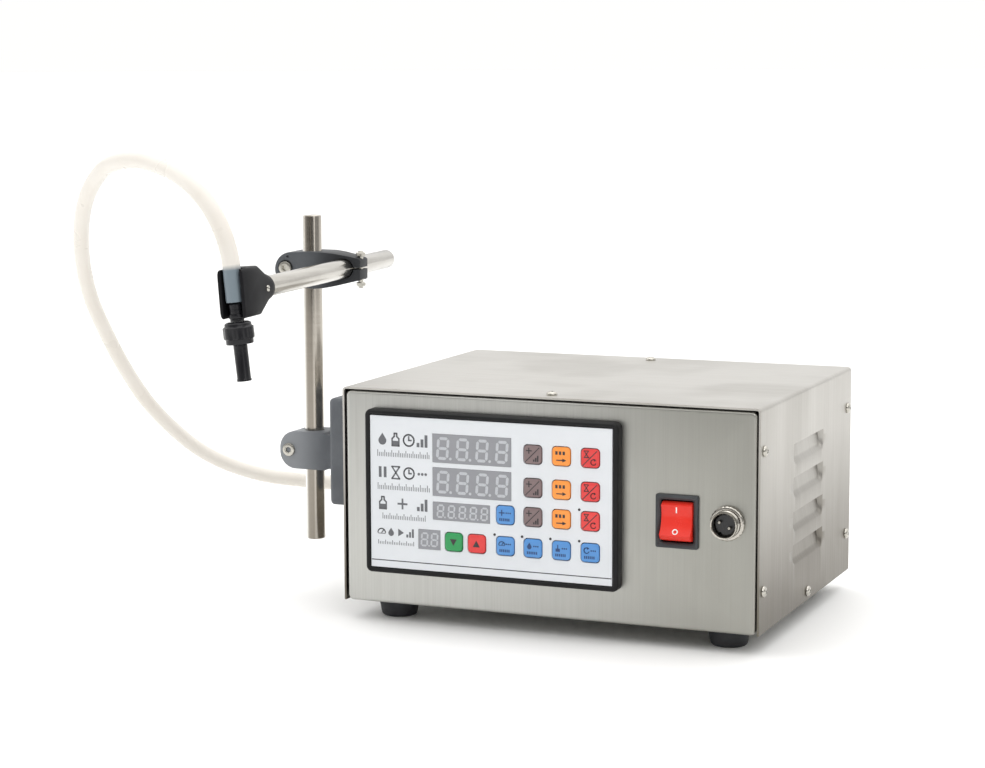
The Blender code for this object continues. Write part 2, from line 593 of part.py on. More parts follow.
def power_inlet():
    """Three-pole appliance inlet with its flange on the back."""
    x, z = POWER_INLET_AT
    flange = block((x - 0.0240, BOX_D + GAP, z - 0.0120), (x + 0.0240, BOX_D + 0.0030, z + 0.0120), 0.004, "Y", 3)
    inlet = add("power_inlet", mesh_of(flange, "power_inlet"), "black_plastic", machine)
    body_w, body_h = POWER_INLET_BODY
    join(inlet, block((x - body_w, BOX_D - 0.0170, z - body_h), (x + body_w, BOX_D + 0.0020, z + body_h)))
    cut(inlet, block((x - 0.0118, BOX_D - 0.0145, z - 0.0083), (x + 0.0118, BOX_D + 0.02, z + 0.0083)))


def smooth_line(points, spacing):
    """Points spaced along a Catmull-Rom curve through the route."""
    route = [Vector(p) for p in points]
    route = [2 * route[0] - route[1], *route, 2 * route[-1] - route[-2]]
    dense = []
    for before, one, other, after in zip(route, route[1:], route[2:], route[3:]):
        for i in range(24):
            t = i / 24
            dense.append(0.5 * (2 * one + (other - before) * t + (2 * before - 5 * one + 4 * other - after) * t ** 2
                                + (3 * one - before - 3 * other + after) * t ** 3))
    dense.append(route[-2])
    total = sum((b - a).length for a, b in zip(dense, dense[1:]))
    count = round(total / spacing)
    found, walked, target = [dense[0]], 0.0, total / count
    for a, b in zip(dense, dense[1:]):
        step = (b - a).length
        while walked + step >= target - 1e-9 and len(found) < count:
            found.append(a + (b - a) * ((target - walked) / step))
            target += total / count
        walked += step
    found.append(dense[-1])
    return found


def tube(name, points, radius, slot, parent, resolution=2):
    """A round tube along points, with filled ends."""
    line = bpy.data.curves.new(name, "CURVE")
    line.dimensions = "3D"
    line.bevel_depth = radius
    line.bevel_resolution = resolution
    line.use_fill_caps = True
    spline = line.splines.new("POLY")
    spline.points.add(len(points) - 1)
    for point, at in zip(spline.points, points):
        point.co = (*at, 1)
    made = bpy.data.objects.new(name, line)
    PARTS.objects.link(made)
    made.parent = parent
    line.materials.append(material(slot))
    return made


def on_nozzle(height):
    """The point on the nozzle's axis at a height above the arm's axis, in the BOX frame."""
    turn = Matrix.Translation((POST_X, POST_Y, 0)) @ Matrix.Rotation(ARM_YAW, 4, "Z") \
        @ Matrix.Translation((ARM_OFFSET, NOZZLE_Y, ARM_Z)) @ Matrix.Rotation(NOZZLE_ROLL, 4, "Y")
    return tuple(turn @ Vector((0, 0, height)))


# outlet elbow, behind the box, out to the left, up and over to the nozzle
ROUTE = [
    (0.0440, 0.2240, 0.0440), (0.0250, 0.2240, 0.0435), (-0.0200, 0.2245, 0.0420), (-0.0700, 0.2260, 0.0398),
    (-0.1080, 0.2275, 0.0388), (-0.1436, 0.2280, 0.0388), (-0.1750, 0.2250, 0.0412), (-0.2018, 0.2190, 0.0488),
    (-0.2200, 0.2090, 0.0606), (-0.2330, 0.1945, 0.0777), (-0.2415, 0.1755, 0.0990), (-0.2453, 0.1535, 0.1250),
    (-0.2446, 0.1290, 0.1528), (-0.2394, 0.1040, 0.1779), (-0.2278, 0.0770, 0.2040), (-0.2098, 0.0480, 0.2301),
    (-0.1858, 0.0190, 0.2532), (-0.1544, -0.0110, 0.2706), (-0.1199, -0.0390, 0.2771), (-0.0901, -0.0610, 0.2761),
    (-0.0555, -0.0883, 0.2697), (-0.0344, -0.0987, 0.2568), (-0.0225, -0.1031, 0.2415),
    on_nozzle(0.0203), on_nozzle(0.0080), on_nozzle(HOSE_END_Z),
]

ports()
power_inlet()
tube("outlet_hose", smooth_line(ROUTE, 2.3 * 2 * HOSE_R), HOSE_R, "silicone", machine)


# ---------------------------------------------------------------- inside the box

def pump():
    """Motor, wobble shaft, wobble plate with its three pistons, pump housing and head."""
    motor = [(0, 0.1080), (0.0070, 0.1080), (0.0070, 0.1050), (0.0200, 0.1050), (0.0210, 0.1040), (0.0210, 0.0400),
             (0.0200, 0.0390), (0, 0.0390)]
    can = turned("pump_motor", motor, "zinc_sheet", pump_axis, turn=BACKWARD)
    cut(can, rod((0, 0, 0.0960), (0, 0, 0.12), 0.0028, 16))
    shaft = turned("pump_shaft", [(0, 0.1130), (0.0025, 0.1130), (0.0025, 0.0970), (0, 0.0970)], "polished_steel",
                   pump_axis, turn=BACKWARD, steps=16)
    join(shaft, rod((0, -0.0060, 0), (0, 0.0050, 0), 0.0040, 20), place=wobble_axis)
    plate = add("wobble_plate", mesh_of(rod((0, -0.0020, 0), (0, 0.0020, 0), 0.0170, 24), "wobble_plate"),
                "nylon_white", wobble_axis)
    join(plate, rod((0, -0.0042, 0), (0, 0.0045, 0), 0.0068, 20))
    arms, heads = [], []
    for i in range(3):
        a = 2 * math.pi * i / 3 + math.pi / 2
        x, z = PISTON_PITCH_R * math.cos(a), PISTON_PITCH_R * math.sin(a)
        arms.append(rod((x, 0.0010, z), (x, 0.0130, z), 0.0020, 12))
        heads.append(rod((x, 0.0125, z), (x, 0.0200, z), 0.0034, 16))
    join(plate, *arms)
    join(plate, *heads)
    cut(plate, rod((0, -0.02, 0), (0, 0.02, 0), 0.0043, 20))
    ring = add("pump_housing", mesh_of(rod((0, 0.1053, 0), (0, 0.1300, 0), 0.0245, 28), "pump_housing"),
               "black_plastic", pump_axis)
    cut(ring, rod((0, 0.05, 0), (0, 0.15, 0), 0.0205, 28))
    head = add("pump_head", mesh_of(block((-0.028, 0.1303, -0.023), (0.028, 0.1560, 0.023), 0.004, "Y", 2),
                                    "pump_head"), "black_plastic", pump_axis)
    join(head, *[rod((x, 0.150, 0), (x, 0.166, 0), 0.0040, 16) for x in (OUTLET_X - PUMP_X, INLET_X - PUMP_X)])
    bores = []
    for i in range(3):
        a = 2 * math.pi * i / 3 + math.pi / 2
        x, z = PISTON_PITCH_R * math.cos(a), PISTON_PITCH_R * math.sin(a)
        bores.append(rod((x, 0.12, z), (x, 0.1440, z), 0.0056, 18))
    cut(head, *bores)
    saddle = add("pump_saddle", mesh_of(block((-0.018, 0.052, 0.0135 - PORT_Z), (0.018, 0.092, -0.0100)),
                                        "pump_saddle"), "black_plastic", pump_axis)
    cut(saddle, rod((0, 0, 0), (0, 0.2, 0), 0.0210 + GAP, 28))
    for name, x in (("inner_outlet_hose", OUTLET_X), ("inner_inlet_hose", INLET_X)):
        tube(name, [(x, y, PORT_Z) for y in (0.1663, 0.1745, BOX_D - 0.0170 - GAP)], 0.0048, "silicone", machine)


def electronics():
    """Power supply on the floor, and the control board behind the panel."""
    case = block((0.148, 0.092, 0.0135), (0.246, 0.180, 0.0495), 0.001, "Z", 1)
    supply = add("power_supply", mesh_of(case, "power_supply"), "zinc_sheet", machine)
    cut(supply, block((0.1495, 0.0935, 0.0), (0.2445, 0.1785, 0.0480)))
    board = add("control_board", mesh_of(block((0.026, 0.0150, 0.042), (0.170, 0.0166, 0.122)), "control_board"),
                "circuit_board", machine)
    join(board, block((0.034, 0.0160, 0.100), (0.060, 0.0260, 0.116)),
         block((0.080, 0.0160, 0.096), (0.100, 0.0220, 0.112)),
         block((0.120, 0.0160, 0.056), (0.150, 0.0300, 0.070)))


pump_axis = empty("pump_axis", machine, (PUMP_X, 0, PORT_Z))
wobble_axis = empty("wobble_axis", pump_axis, (0, WOBBLE_Y, 0), (0, 0, -WOBBLE_TILT))

pump()
electronics()
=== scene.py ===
"""Looks of the bench-top liquid filler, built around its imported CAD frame.

Units are metres, and millimetres inside mm(). BOX coordinates start at the control box's front left corner
on the bench: +X along the front, +Y to the back, +Z up. ORIGIN takes them to the row frame.
"""

import json
import math

import bmesh
import bpy
import numpy as np
from mathutils import Matrix, Vector

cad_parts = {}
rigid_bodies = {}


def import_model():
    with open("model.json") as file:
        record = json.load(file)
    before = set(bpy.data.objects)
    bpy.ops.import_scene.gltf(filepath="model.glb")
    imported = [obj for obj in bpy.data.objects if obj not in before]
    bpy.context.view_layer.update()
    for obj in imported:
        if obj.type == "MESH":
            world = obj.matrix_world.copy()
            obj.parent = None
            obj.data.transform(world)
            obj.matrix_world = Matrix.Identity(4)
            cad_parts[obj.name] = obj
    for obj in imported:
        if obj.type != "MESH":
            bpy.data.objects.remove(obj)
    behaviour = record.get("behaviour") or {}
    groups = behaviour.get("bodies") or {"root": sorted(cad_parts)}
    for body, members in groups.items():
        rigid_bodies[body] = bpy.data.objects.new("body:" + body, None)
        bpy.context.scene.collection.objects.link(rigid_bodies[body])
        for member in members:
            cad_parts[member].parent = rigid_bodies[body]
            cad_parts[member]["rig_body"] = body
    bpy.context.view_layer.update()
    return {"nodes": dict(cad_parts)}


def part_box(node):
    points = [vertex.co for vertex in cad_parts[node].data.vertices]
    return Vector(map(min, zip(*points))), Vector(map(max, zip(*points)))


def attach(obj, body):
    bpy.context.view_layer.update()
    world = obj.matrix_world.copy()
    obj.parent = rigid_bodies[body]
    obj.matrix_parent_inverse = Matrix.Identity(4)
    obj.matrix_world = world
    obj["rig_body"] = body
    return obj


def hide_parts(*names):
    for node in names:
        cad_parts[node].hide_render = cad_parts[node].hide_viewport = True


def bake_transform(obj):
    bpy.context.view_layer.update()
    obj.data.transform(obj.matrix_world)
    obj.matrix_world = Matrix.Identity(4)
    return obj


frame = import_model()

# control box
BOX_W, BOX_D, BOX_H, FOOT_H = 0.260, 0.200, 0.130, 0.012
BOX_TOP = FOOT_H + BOX_H
SHEET = 0.0012
TRAY_IN = 0.0020
FLANGE = 0.012
COVER_BEND, TRAY_BEND = 0.0025, 0.0020
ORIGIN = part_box("top_cover")[0] - Vector((0, 0, FOOT_H))
BOX = Matrix.Translation(ORIGIN)

LOUVRE_Y = (0.068, 0.134)
LOUVRE_TOPS = [FOOT_H + z for z in (0.100, 0.080, 0.0595, 0.0395)]
LOUVRE_H, LOUVRE_DEPTH, LOUVRE_CORNER, LOUVRE_STEP = 0.0125, 0.0036, 0.0060, 0.0026

# panel
PANEL_X, PANEL_Z = (0.018, 0.178), (FOOT_H + 0.020, FOOT_H + 0.1185)
PANEL_RIM, PANEL_PROUD, PANEL_POCKET = 0.0034, 0.0080, 0.0045
FILM_Y = -0.0070
KEY_W, KEY_H = 0.0110, 0.0108
KEY_COLUMNS = (0.1256, 0.1433, 0.1611)
KEY_BASE_COLUMNS = (0.1083, *KEY_COLUMNS)
KEY_ROWS = [FOOT_H + z for z in (0.0973, 0.0777, 0.0605)]
KEY_BASE_ROW = FOOT_H + 0.0421

WELL_HALF_H = 0.0123
SWITCH_AT, SWITCH_W, SWITCH_H = (0.2114, FOOT_H + 0.0629), 0.0255, 0.0310
ROCKER_W, ROCKER_R, ROCKER_AXIS_Y, ROCKER_TILT = 0.0186, 0.0114, 0.0010, math.radians(11)
SOCKET_AT = (0.2415, FOOT_H + 0.0640)

# stand
ROD_R = 0.006
ROD_BORE_R = ROD_R + 0.0003
POST_X, POST_Y = -0.0546, 0.070
POST_Z = (FOOT_H + 0.021, FOOT_H + 0.2272)
EYE_Z = FOOT_H + 0.079
ARM_OFFSET, ARM_YAW, ARM_Z, ARM_Y = 0.024, math.radians(5.11), FOOT_H + 0.1946, (-0.152, 0.069)
HOLDER_ROLL, NOZZLE_ROLL, NOZZLE_Y = math.radians(-4.2), math.radians(-6.2), -0.177
HOSE_R, HOSE_END_Z = 0.005, -0.0046
OUTLET_X, INLET_X, PORT_Z = 0.060, 0.100, 0.044
POWER_INLET_AT = (0.215, 0.095)

CLAMP_FRAME = BOX @ Matrix.Translation((POST_X, POST_Y, 0)) @ Matrix.Rotation(ARM_YAW, 4, "Z")
ARM_FRAME = CLAMP_FRAME @ Matrix.Translation((ARM_OFFSET, 0, ARM_Z))
HOLDER_FRAME = ARM_FRAME @ Matrix.Rotation(HOLDER_ROLL, 4, "Y")
NOZZLE_FRAME = ARM_FRAME @ Matrix.Translation((0, NOZZLE_Y, 0)) @ Matrix.Rotation(NOZZLE_ROLL, 4, "Y")


# ---------------------------------------------------------------- materials

def add_node(tree, kind, inputs=(), **settings):
    """A shader node with its settings, and each input linked to a socket or set to a value."""
    made = tree.nodes.new(kind)
    for key, value in settings.items():
        setattr(made, key, value)
    for key, value in dict(inputs).items():
        if isinstance(value, bpy.types.NodeSocket):
            tree.links.new(value, made.inputs[key])
        else:
            made.inputs[key].default_value = value
    return made


def ease(tree, value, low, high, to_low, to_high, smooth=True):
    return add_node(tree, "ShaderNodeMapRange", {0: value, 1: low, 2: high, 3: to_low, 4: to_high},
                    interpolation_type="SMOOTHSTEP" if smooth else "LINEAR").outputs[0]


M = {}      # every Paint by its name


class Paint:
    """A Principled material, with colour, roughness and bump varied by noise in object coordinates."""

    def __init__(self, name, colour, metallic=0.0, roughness=0.5, **sockets):
        self.material = bpy.data.materials.new(name)
        self.material.use_nodes = True
        self.tree = self.material.node_tree
        self.shader = self.tree.nodes["Principled BSDF"]
        self.colour = self.rgba(colour)
        self.shader.inputs["Base Color"].default_value = self.colour
        self.shader.inputs["Metallic"].default_value = metallic
        self.shader.inputs["Roughness"].default_value = roughness
        for key, value in sockets.items():
            self.shader.inputs[key.replace("_", " ")].default_value = value
        self.place = self.tree.nodes.new("ShaderNodeTexCoord").outputs["Object"]
        M[name] = self

    @staticmethod
    def rgba(colour):
        return (*colour, 1) if len(colour) == 3 else colour

    def node(self, kind, inputs=(), **settings):
        return add_node(self.tree, kind, inputs, **settings)

    def noise(self, scale, stretch=(1, 1, 1), detail=2.0, rough=0.5, distortion=0.0):
        """Noise from 0 to 1. stretch multiplies the frequency along each axis."""
        mapped = self.node("ShaderNodeMapping", {"Vector": self.place, "Scale": stretch})
        made = self.node("ShaderNodeTexNoise", {"Vector": mapped.outputs[0], "Scale": scale, "Detail": detail,
                                                "Roughness": rough, "Distortion": distortion})
        return made.outputs[0]

    def range(self, value, low, high, to_low, to_high, smooth=False):
        return ease(self.tree, value, low, high, to_low, to_high, smooth)

    def blend(self, one, other, share):
        """One value by a share, plus the other by the rest."""
        parts = [self.node("ShaderNodeMath", {0: value, 1: part}, operation="MULTIPLY").outputs[0]
                 for value, part in ((one, share), (other, 1 - share))]
        return self.node("ShaderNodeMath", {0: parts[0], 1: parts[1]}, operation="ADD").outputs[0]

    def along(self, axis, low, high, to_low=0.0, to_high=1.0):
        """Eases from to_low to to_high between two places on an axis of the BOX frame."""
        split = self.node("ShaderNodeSeparateXYZ", {0: self.place})
        start = ORIGIN["XYZ".index(axis)]
        return self.range(split.outputs["XYZ".index(axis)], start + low, start + high, to_low, to_high, True)

    def tint(self, share, colour):
        """Mixes another colour into the base colour by a varying share."""
        base = self.shader.inputs["Base Color"]
        mix = self.node("ShaderNodeMix", {0: share}, data_type="RGBA")
        if base.is_linked:
            self.tree.links.new(base.links[0].from_socket, mix.inputs[6])
        else:
            mix.inputs[6].default_value = self.colour
        mix.inputs[7].default_value = self.rgba(colour)
        self.tree.links.new(mix.outputs[2], base)
        return self

    def vary_roughness(self, value, low, high):
        self.tree.links.new(self.range(value, 0.25, 0.75, low, high), self.shader.inputs["Roughness"])
        return self

    def bump(self, height, strength, distance):
        made = self.node("ShaderNodeBump", {"Height": height, "Strength": strength, "Distance": distance})
        before = self.shader.inputs["Normal"]
        if before.is_linked:
            self.tree.links.new(before.links[0].from_socket, made.inputs["Normal"])
        self.tree.links.new(made.outputs[0], before)
        return self


def brushed(name, colour, dark, grain, roughness=0.36):
    """Brushed stainless sheet. grain is the frequency along each axis, high across the brush lines."""
    made = Paint(name, colour, 1.0, roughness)
    lines = made.noise(1.0, grain, 3.0, 0.6)
    patches = made.noise(9.0, detail=3.0, rough=0.55)
    made.tint(made.range(lines, 0.35, 0.75, 0.0, 0.35), dark)
    made.tint(made.range(patches, 0.42, 0.72, 0.0, 0.30, True), dark)
    smears = made.noise(28.0, (1, 1, 0.35), 4.0, 0.7, 0.6)
    made.vary_roughness(made.blend(lines, smears, 0.6), roughness - 0.07, roughness + 0.09)
    made.bump(lines, 0.10, 0.00003)
    return made


def rod_steel(name, grain, streaks=None):
    """Ground bright rod with faint turning lines, handling marks and long soft streaks."""
    made = Paint(name, (0.56, 0.54, 0.50), 1.0, 0.17)
    lines = made.noise(1.0, grain, 2.0, 0.5)
    if streaks:
        made.tint(made.range(made.noise(1.0, streaks, 2.0, 0.6), 0.30, 0.72, 0.0, 0.45, True),
                  (0.30, 0.28, 0.25))
    smears = made.noise(60.0, detail=4.0, rough=0.65)
    made.tint(made.range(lines, 0.4, 0.7, 0.0, 0.22), (0.40, 0.385, 0.355))
    made.vary_roughness(made.blend(lines, smears, 0.5), 0.12, 0.25)
    made.bump(lines, 0.06, 0.00002)
    return made


def moulded(name, colour, roughness, light=None, grain=2600.0, strength=0.10, **sockets):
    """Moulded plastic or rubber: fine surface grain, slow tone changes, a little dust in the low spots."""
    made = Paint(name, colour, 0.0, roughness, **sockets)
    fine = made.noise(grain, detail=2.0)
    slow = made.noise(55.0, detail=4.0, rough=0.6)
    lighter = light or tuple(min(1.0, v * 1.35 + 0.006) for v in colour)
    made.tint(made.range(slow, 0.40, 0.72, 0.0, 0.45, True), lighter)
    made.vary_roughness(made.blend(fine, slow, 0.4), roughness - 0.06, roughness + 0.08)
    made.bump(fine, strength, 0.00005)
    return made


def printed(name, colour, roughness=0.45):
    """Ink on the film or on a key, a little uneven."""
    made = Paint(name, colour, 0.0, roughness)
    uneven = made.noise(1400.0, detail=2.0)
    made.tint(made.range(uneven, 0.35, 0.8, 0.0, 0.30), tuple(min(1.0, v * 1.5 + 0.02) for v in colour))
    made.vary_roughness(uneven, roughness - 0.05, roughness + 0.08)
    return made


def zinc(name, colour, roughness, scale):
    """Zinc-plated or nickel-plated metal with a mottled finish."""
    made = Paint(name, colour, 1.0, roughness)
    spangle = made.noise(scale, detail=4.0, rough=0.7)
    made.tint(made.range(spangle, 0.38, 0.70, 0.0, 0.45), tuple(v * 0.62 for v in colour))
    made.vary_roughness(spangle, roughness - 0.07, roughness + 0.10)
    made.bump(spangle, 0.08, 0.00003)


def silicone():
    """Milky hose. Inside the holder it takes a cooler, darker tint: painted shade, as if the holder showed
    through.
    """
    made = Paint("silicone", (0.73, 0.69, 0.63), 0.0, 0.32, Specular_IOR_Level=0.35)
    cloud = made.noise(38.0, detail=3.0)
    made.tint(made.range(cloud, 0.35, 0.7, 0.0, 0.5, True), (0.77, 0.74, 0.69))
    dark = made.node("ShaderNodeAttribute", attribute_name="shade_behind").outputs["Fac"]
    # painted shade where the hose runs inside the holder
    made.tint(dark, (0.115, 0.165, 0.205))
    made.vary_roughness(cloud, 0.24, 0.36)


def paints():
    """Every material but the floor's."""
    brushed("steel_front", (0.53, 0.53, 0.505), (0.40, 0.398, 0.372), (1500, 300, 14))
    brushed("steel_cover", (0.55, 0.535, 0.505), (0.42, 0.405, 0.375), (10, 1400, 10))
    rod_steel("rod_upright", (60, 60, 2200), (210, 210, 1.5))
    rod_steel("rod_level", (60, 2200, 60), (190, 1.5, 190))
    rod_steel("bright_steel", (900, 900, 900))
    for name, colour, roughness, shine, grain in (
            ("bezel_black", (0.011, 0.011, 0.0115), 0.40, 0.16, 2600.0),
            ("switch_black", (0.050, 0.053, 0.057), 0.38, 0.25, 2600.0),
            ("holder_black", (0.009, 0.009, 0.0105), 0.40, 0.08, 2600.0),
            ("nozzle_black", (0.008, 0.008, 0.010), 0.24, 0.30, 1800.0)):
        moulded(name, colour, roughness, grain=grain, Specular_IOR_Level=shine)
    for name, colour, roughness, light, grain, strength, shine in (
            ("polyamide", (0.105, 0.113, 0.125), 0.50, (0.15, 0.16, 0.175), 1500.0, 0.22, 0.30),
            ("polyamide_dark", (0.085, 0.091, 0.100), 0.48, (0.12, 0.128, 0.14), 1500.0, 0.22, 0.22),
            ("film_white", (0.72, 0.745, 0.775), 0.36, (0.76, 0.78, 0.81), 3200.0, 0.06, 0.30),
            ("window_grey", (0.285, 0.290, 0.310), 0.22, (0.31, 0.315, 0.335), 2000.0, 0.02, 0.25),
            ("rocker_red", (0.74, 0.030, 0.018), 0.22, (0.84, 0.050, 0.034), 1200.0, 0.03, 0.32)):
        moulded(name, colour, roughness, light, grain, strength, Specular_IOR_Level=shine)
    for name, colour, roughness, light in (
            ("key_brown", (0.205, 0.145, 0.145), 0.38, (0.25, 0.185, 0.18)),
            ("key_orange", (0.93, 0.30, 0.045), 0.36, (0.97, 0.38, 0.09)),
            ("key_red", (0.70, 0.042, 0.042), 0.36, (0.86, 0.075, 0.07)),
            ("key_blue", (0.085, 0.275, 0.63), 0.36, (0.13, 0.33, 0.70)),
            ("key_green", (0.022, 0.30, 0.085), 0.36, (0.04, 0.37, 0.12))):
        moulded(name, colour, roughness, light, 2400.0, 0.05)
    moulded("rubber", (0.026, 0.027, 0.031), 0.72, (0.055, 0.056, 0.060), 1100.0, 0.35)
    moulded("insulator", (0.012, 0.012, 0.013), 0.28)
    moulded("nylon", (0.76, 0.75, 0.71), 0.42, (0.82, 0.81, 0.78), 1600.0, 0.12,
            Subsurface_Weight=0.15, Subsurface_Scale=0.002)
    moulded("board_green", (0.018, 0.13, 0.05), 0.45, (0.03, 0.20, 0.08), 900.0, 0.2)
    # near-black: painted shade for the gap round the switch rocker
    moulded("painted_gap_shade", (0.010, 0.010, 0.010), 0.8)
    for name, colour, roughness in (("segment_pale", (0.46, 0.475, 0.505), 0.30),
                                    ("ink_grey", (0.12, 0.124, 0.135), 0.45),
                                    ("ink_line", (0.045, 0.047, 0.055), 0.45),
                                    ("ink_dark", (0.035, 0.030, 0.032), 0.45),
                                    ("ink_navy", (0.020, 0.055, 0.165), 0.45),
                                    ("ink_white", (0.88, 0.87, 0.85), 0.35)):
        printed(name, colour, roughness)
    zinc("screw_steel", (0.54, 0.52, 0.47), 0.22, 900.0)
    zinc("zinc_sheet", (0.46, 0.46, 0.47), 0.42, 160.0)
    zinc("socket_nickel", (0.50, 0.475, 0.43), 0.16, 700.0)
    silicone()


def painted_light_and_clouds():
    """Painted light and shade across whole parts: painted reflection bands up the post, painted reflection
    darkening the tray to the right and the cover low down (warmer there), painted light paling the bracket
    towards its eye, and painted shade darkening the clamp towards its right end. The random clouds on the
    cover are its own tone.
    """
    for name, axis, low, high, to_low, to_high, colour in (
            # painted reflection on the upright: pale on its left, dark from there across, and a paler strip
            # at its right
            ("rod_upright", "X", POST_X - 0.0020, POST_X - 0.0052, 0.0, 0.90, (0.92, 0.91, 0.88)),
            ("rod_upright", "X", POST_X - 0.0036, POST_X - 0.0014, 0.0, 0.72, (0.19, 0.162, 0.128)),
            ("rod_upright", "X", POST_X + 0.0016, POST_X + 0.0030, 0.0, 0.55, (0.62, 0.58, 0.52)),
            # painted reflection: the tray's steel darkens towards the right
            ("steel_front", "X", 0.10, 0.24, 0.0, 0.72, (0.30, 0.295, 0.262)),
            # painted reflection: the cover darkens and warms towards the bottom
            ("steel_cover", "Z", 0.138, 0.015, 0.06, 0.96, (0.150, 0.134, 0.110)),
            # painted light: the bracket pales towards its eye on the left
            ("polyamide", "X", -0.040, -0.066, 0.0, 0.85, (0.27, 0.283, 0.300)),
            # painted shade: the clamp darkens towards its right end
            ("polyamide_dark", "X", POST_X - 0.004, POST_X + 0.022, 0.0, 0.85, (0.016, 0.017, 0.019))):
        M[name].tint(M[name].along(axis, low, high, to_low, to_high), colour)
    sides = M["steel_cover"]
    clouds = sides.noise(14.0, (1, 1, 0.30), 2.0, 0.5)
    sides.tint(sides.range(clouds, 0.45, 0.70, 0.0, 0.30, True), (0.24, 0.225, 0.195))


paints()
painted_light_and_clouds()


# ---------------------------------------------------------------- shapes

TINY = 0.00001      # radius of a turned shape's middle
IDENTITY = Matrix.Identity(4)


def mm(*points):
    """Points given in millimetres, in metres."""
    return [tuple(v / 1000 for v in p) for p in points]


def linked(name, shape):
    """An object with a bmesh's mesh."""
    mesh = bpy.data.meshes.new(name)
    shape.to_mesh(mesh)
    shape.free()
    made = bpy.data.objects.new(name, mesh)
    bpy.context.scene.collection.objects.link(made)
    return made


def applied(made):
    """A bmesh of an object with its modifiers applied."""
    bpy.context.view_layer.update()
    result = bmesh.new()
    evaluated = made.evaluated_get(bpy.context.evaluated_depsgraph_get())
    result.from_mesh(bpy.data.meshes.new_from_object(evaluated))
    return result


def finish_mesh(shape, name, paint, frame_matrix=BOX, angle=38):
    """Turns a bmesh in a local frame into a smooth-shaded object in the row frame."""
    bmesh.ops.recalc_face_normals(shape, faces=shape.faces)
    made = linked(name, shape)
    mesh = made.data
    mesh.transform(frame_matrix)
    mesh.shade_smooth()
    mesh.set_sharp_from_angle(angle=math.radians(angle))
    mesh.materials.append(M[paint].material)
    return made


def piece(shape, name, paint, body="root", frame_matrix=BOX, replaces=(), angle=38):
    """A finished piece that rides on a body. Its material slot holds its paint."""
    made = finish_mesh(shape, name, paint, frame_matrix, angle)
    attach(made, body)
    if replaces:
        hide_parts(*replaces)
    return made


def block(low, high, bevel=0.0, segments=2):
    """A box between two corners with all its edges rounded."""
    shape = bmesh.new()
    bmesh.ops.create_cube(shape, size=1)
    low, high = Vector(low), Vector(high)
    shape.transform(Matrix.Translation((low + high) / 2) @ Matrix.Diagonal((*(high - low), 1)))
    if bevel:
        bmesh.ops.bevel(shape, geom=shape.edges[:], offset=bevel, segments=segments, profile=0.5,
                        affect="EDGES")
    return shape


def loft(rings, close=False):
    """Joins rings of equal count with quads. Without close, both end rings are filled."""
    shape = bmesh.new()
    rows = [[shape.verts.new(p) for p in ring] for ring in rings]
    pairs = list(zip(rows, rows[1:])) + ([(rows[-1], rows[0])] if close else [])
    for one, other in pairs:
        for i in range(len(one)):
            j = (i + 1) % len(one)
            shape.faces.new((one[i], one[j], other[j], other[i]))
    if not close:
        shape.faces.new(rows[0])
        shape.faces.new(rows[-1])
    return shape


def rounded_rect(half_w, half_h, corner, steps=5):
    """Points (a, b) round a rectangle with rounded corners."""
    found = []
    for sign_a, sign_b, start in ((1, 1, 0), (-1, 1, 90), (-1, -1, 180), (1, -1, 270)):
        for i in range(steps + 1):
            angle = math.radians(start + 90 * i / steps)
            found.append((sign_a * (half_w - corner) + corner * math.cos(angle),
                          sign_b * (half_h - corner) + corner * math.sin(angle)))
    return found


def framed(x, z, half_w, half_h, corner, profile, close=False, steps=5):
    """A rounded rectangle facing the front, lofted through (inset, y) profile points."""
    rings = []
    for inset, y in profile:
        ring = rounded_rect(half_w - inset, half_h - inset, max(corner - inset, corner * 0.25), steps)
        rings.append([(x + a, y, z + b) for a, b in ring])
    return loft(rings, close)


def lathe(profile, steps=32, ripple=None, close=False):
    """Turned round Z through (radius, height) points. ripple(angle, radius, height) scales the radius."""
    rings = []
    for radius, height in profile:
        ring = []
        for i in range(steps):
            angle = 2 * math.pi * i / steps
            reach = max(radius, TINY) * (ripple(angle, radius, height) if ripple else 1)
            ring.append((reach * math.cos(angle), reach * math.sin(angle), height))
        rings.append(ring)
    return loft(rings, close)


def turn_to(direction):
    """The matrix that takes +Z to a direction."""
    return Vector(direction).to_track_quat("Z", "Y").to_matrix().to_4x4()


def facing(at, direction):
    """The BOX frame's matrix that takes +Z to a direction at a point."""
    return BOX @ Matrix.Translation(at) @ turn_to(direction)


def rod(start, end, radius, sides=24, end_radius=None):
    start, end = Vector(start), Vector(end)
    shape = bmesh.new()
    bmesh.ops.create_cone(shape, cap_ends=True, segments=sides, radius1=radius,
                          radius2=radius if end_radius is None else end_radius, depth=(end - start).length)
    shape.transform(Matrix.Translation((start + end) / 2) @ turn_to(end - start))
    return shape


def boolean(shape, operation, *tools):
    """Cuts, joins or intersects with each tool in turn, exactly."""
    objects = []
    for item in (shape, *tools):
        bmesh.ops.recalc_face_normals(item, faces=item.faces)
        objects.append(linked("work", item))
    for cutter in objects[1:]:
        change = objects[0].modifiers.new("work", "BOOLEAN")
        change.operation, change.solver, change.object = operation, "EXACT", cutter
    result = applied(objects[0])
    for made in objects:
        bpy.data.objects.remove(made)
    return result


def soften(shape, width, segments=2, angle=28):
    """Welds and flattens a shape, then rounds its sharp edges."""
    bmesh.ops.remove_doubles(shape, verts=shape.verts, dist=2e-6)
    bmesh.ops.dissolve_limit(shape, angle_limit=math.radians(0.6), verts=shape.verts, edges=shape.edges)
    sharp = [e for e in shape.edges if len(e.link_faces) == 2 and e.calc_face_angle(0) > math.radians(angle)]
    bmesh.ops.bevel(shape, geom=sharp, offset=width, segments=segments, profile=0.5, affect="EDGES",
                    clamp_overlap=True)
    return shape


def from_cad(node):
    """A bmesh copy of a CAD node's mesh, in the row frame."""
    shape = bmesh.new()
    shape.from_mesh(frame["nodes"][node].data)
    return shape


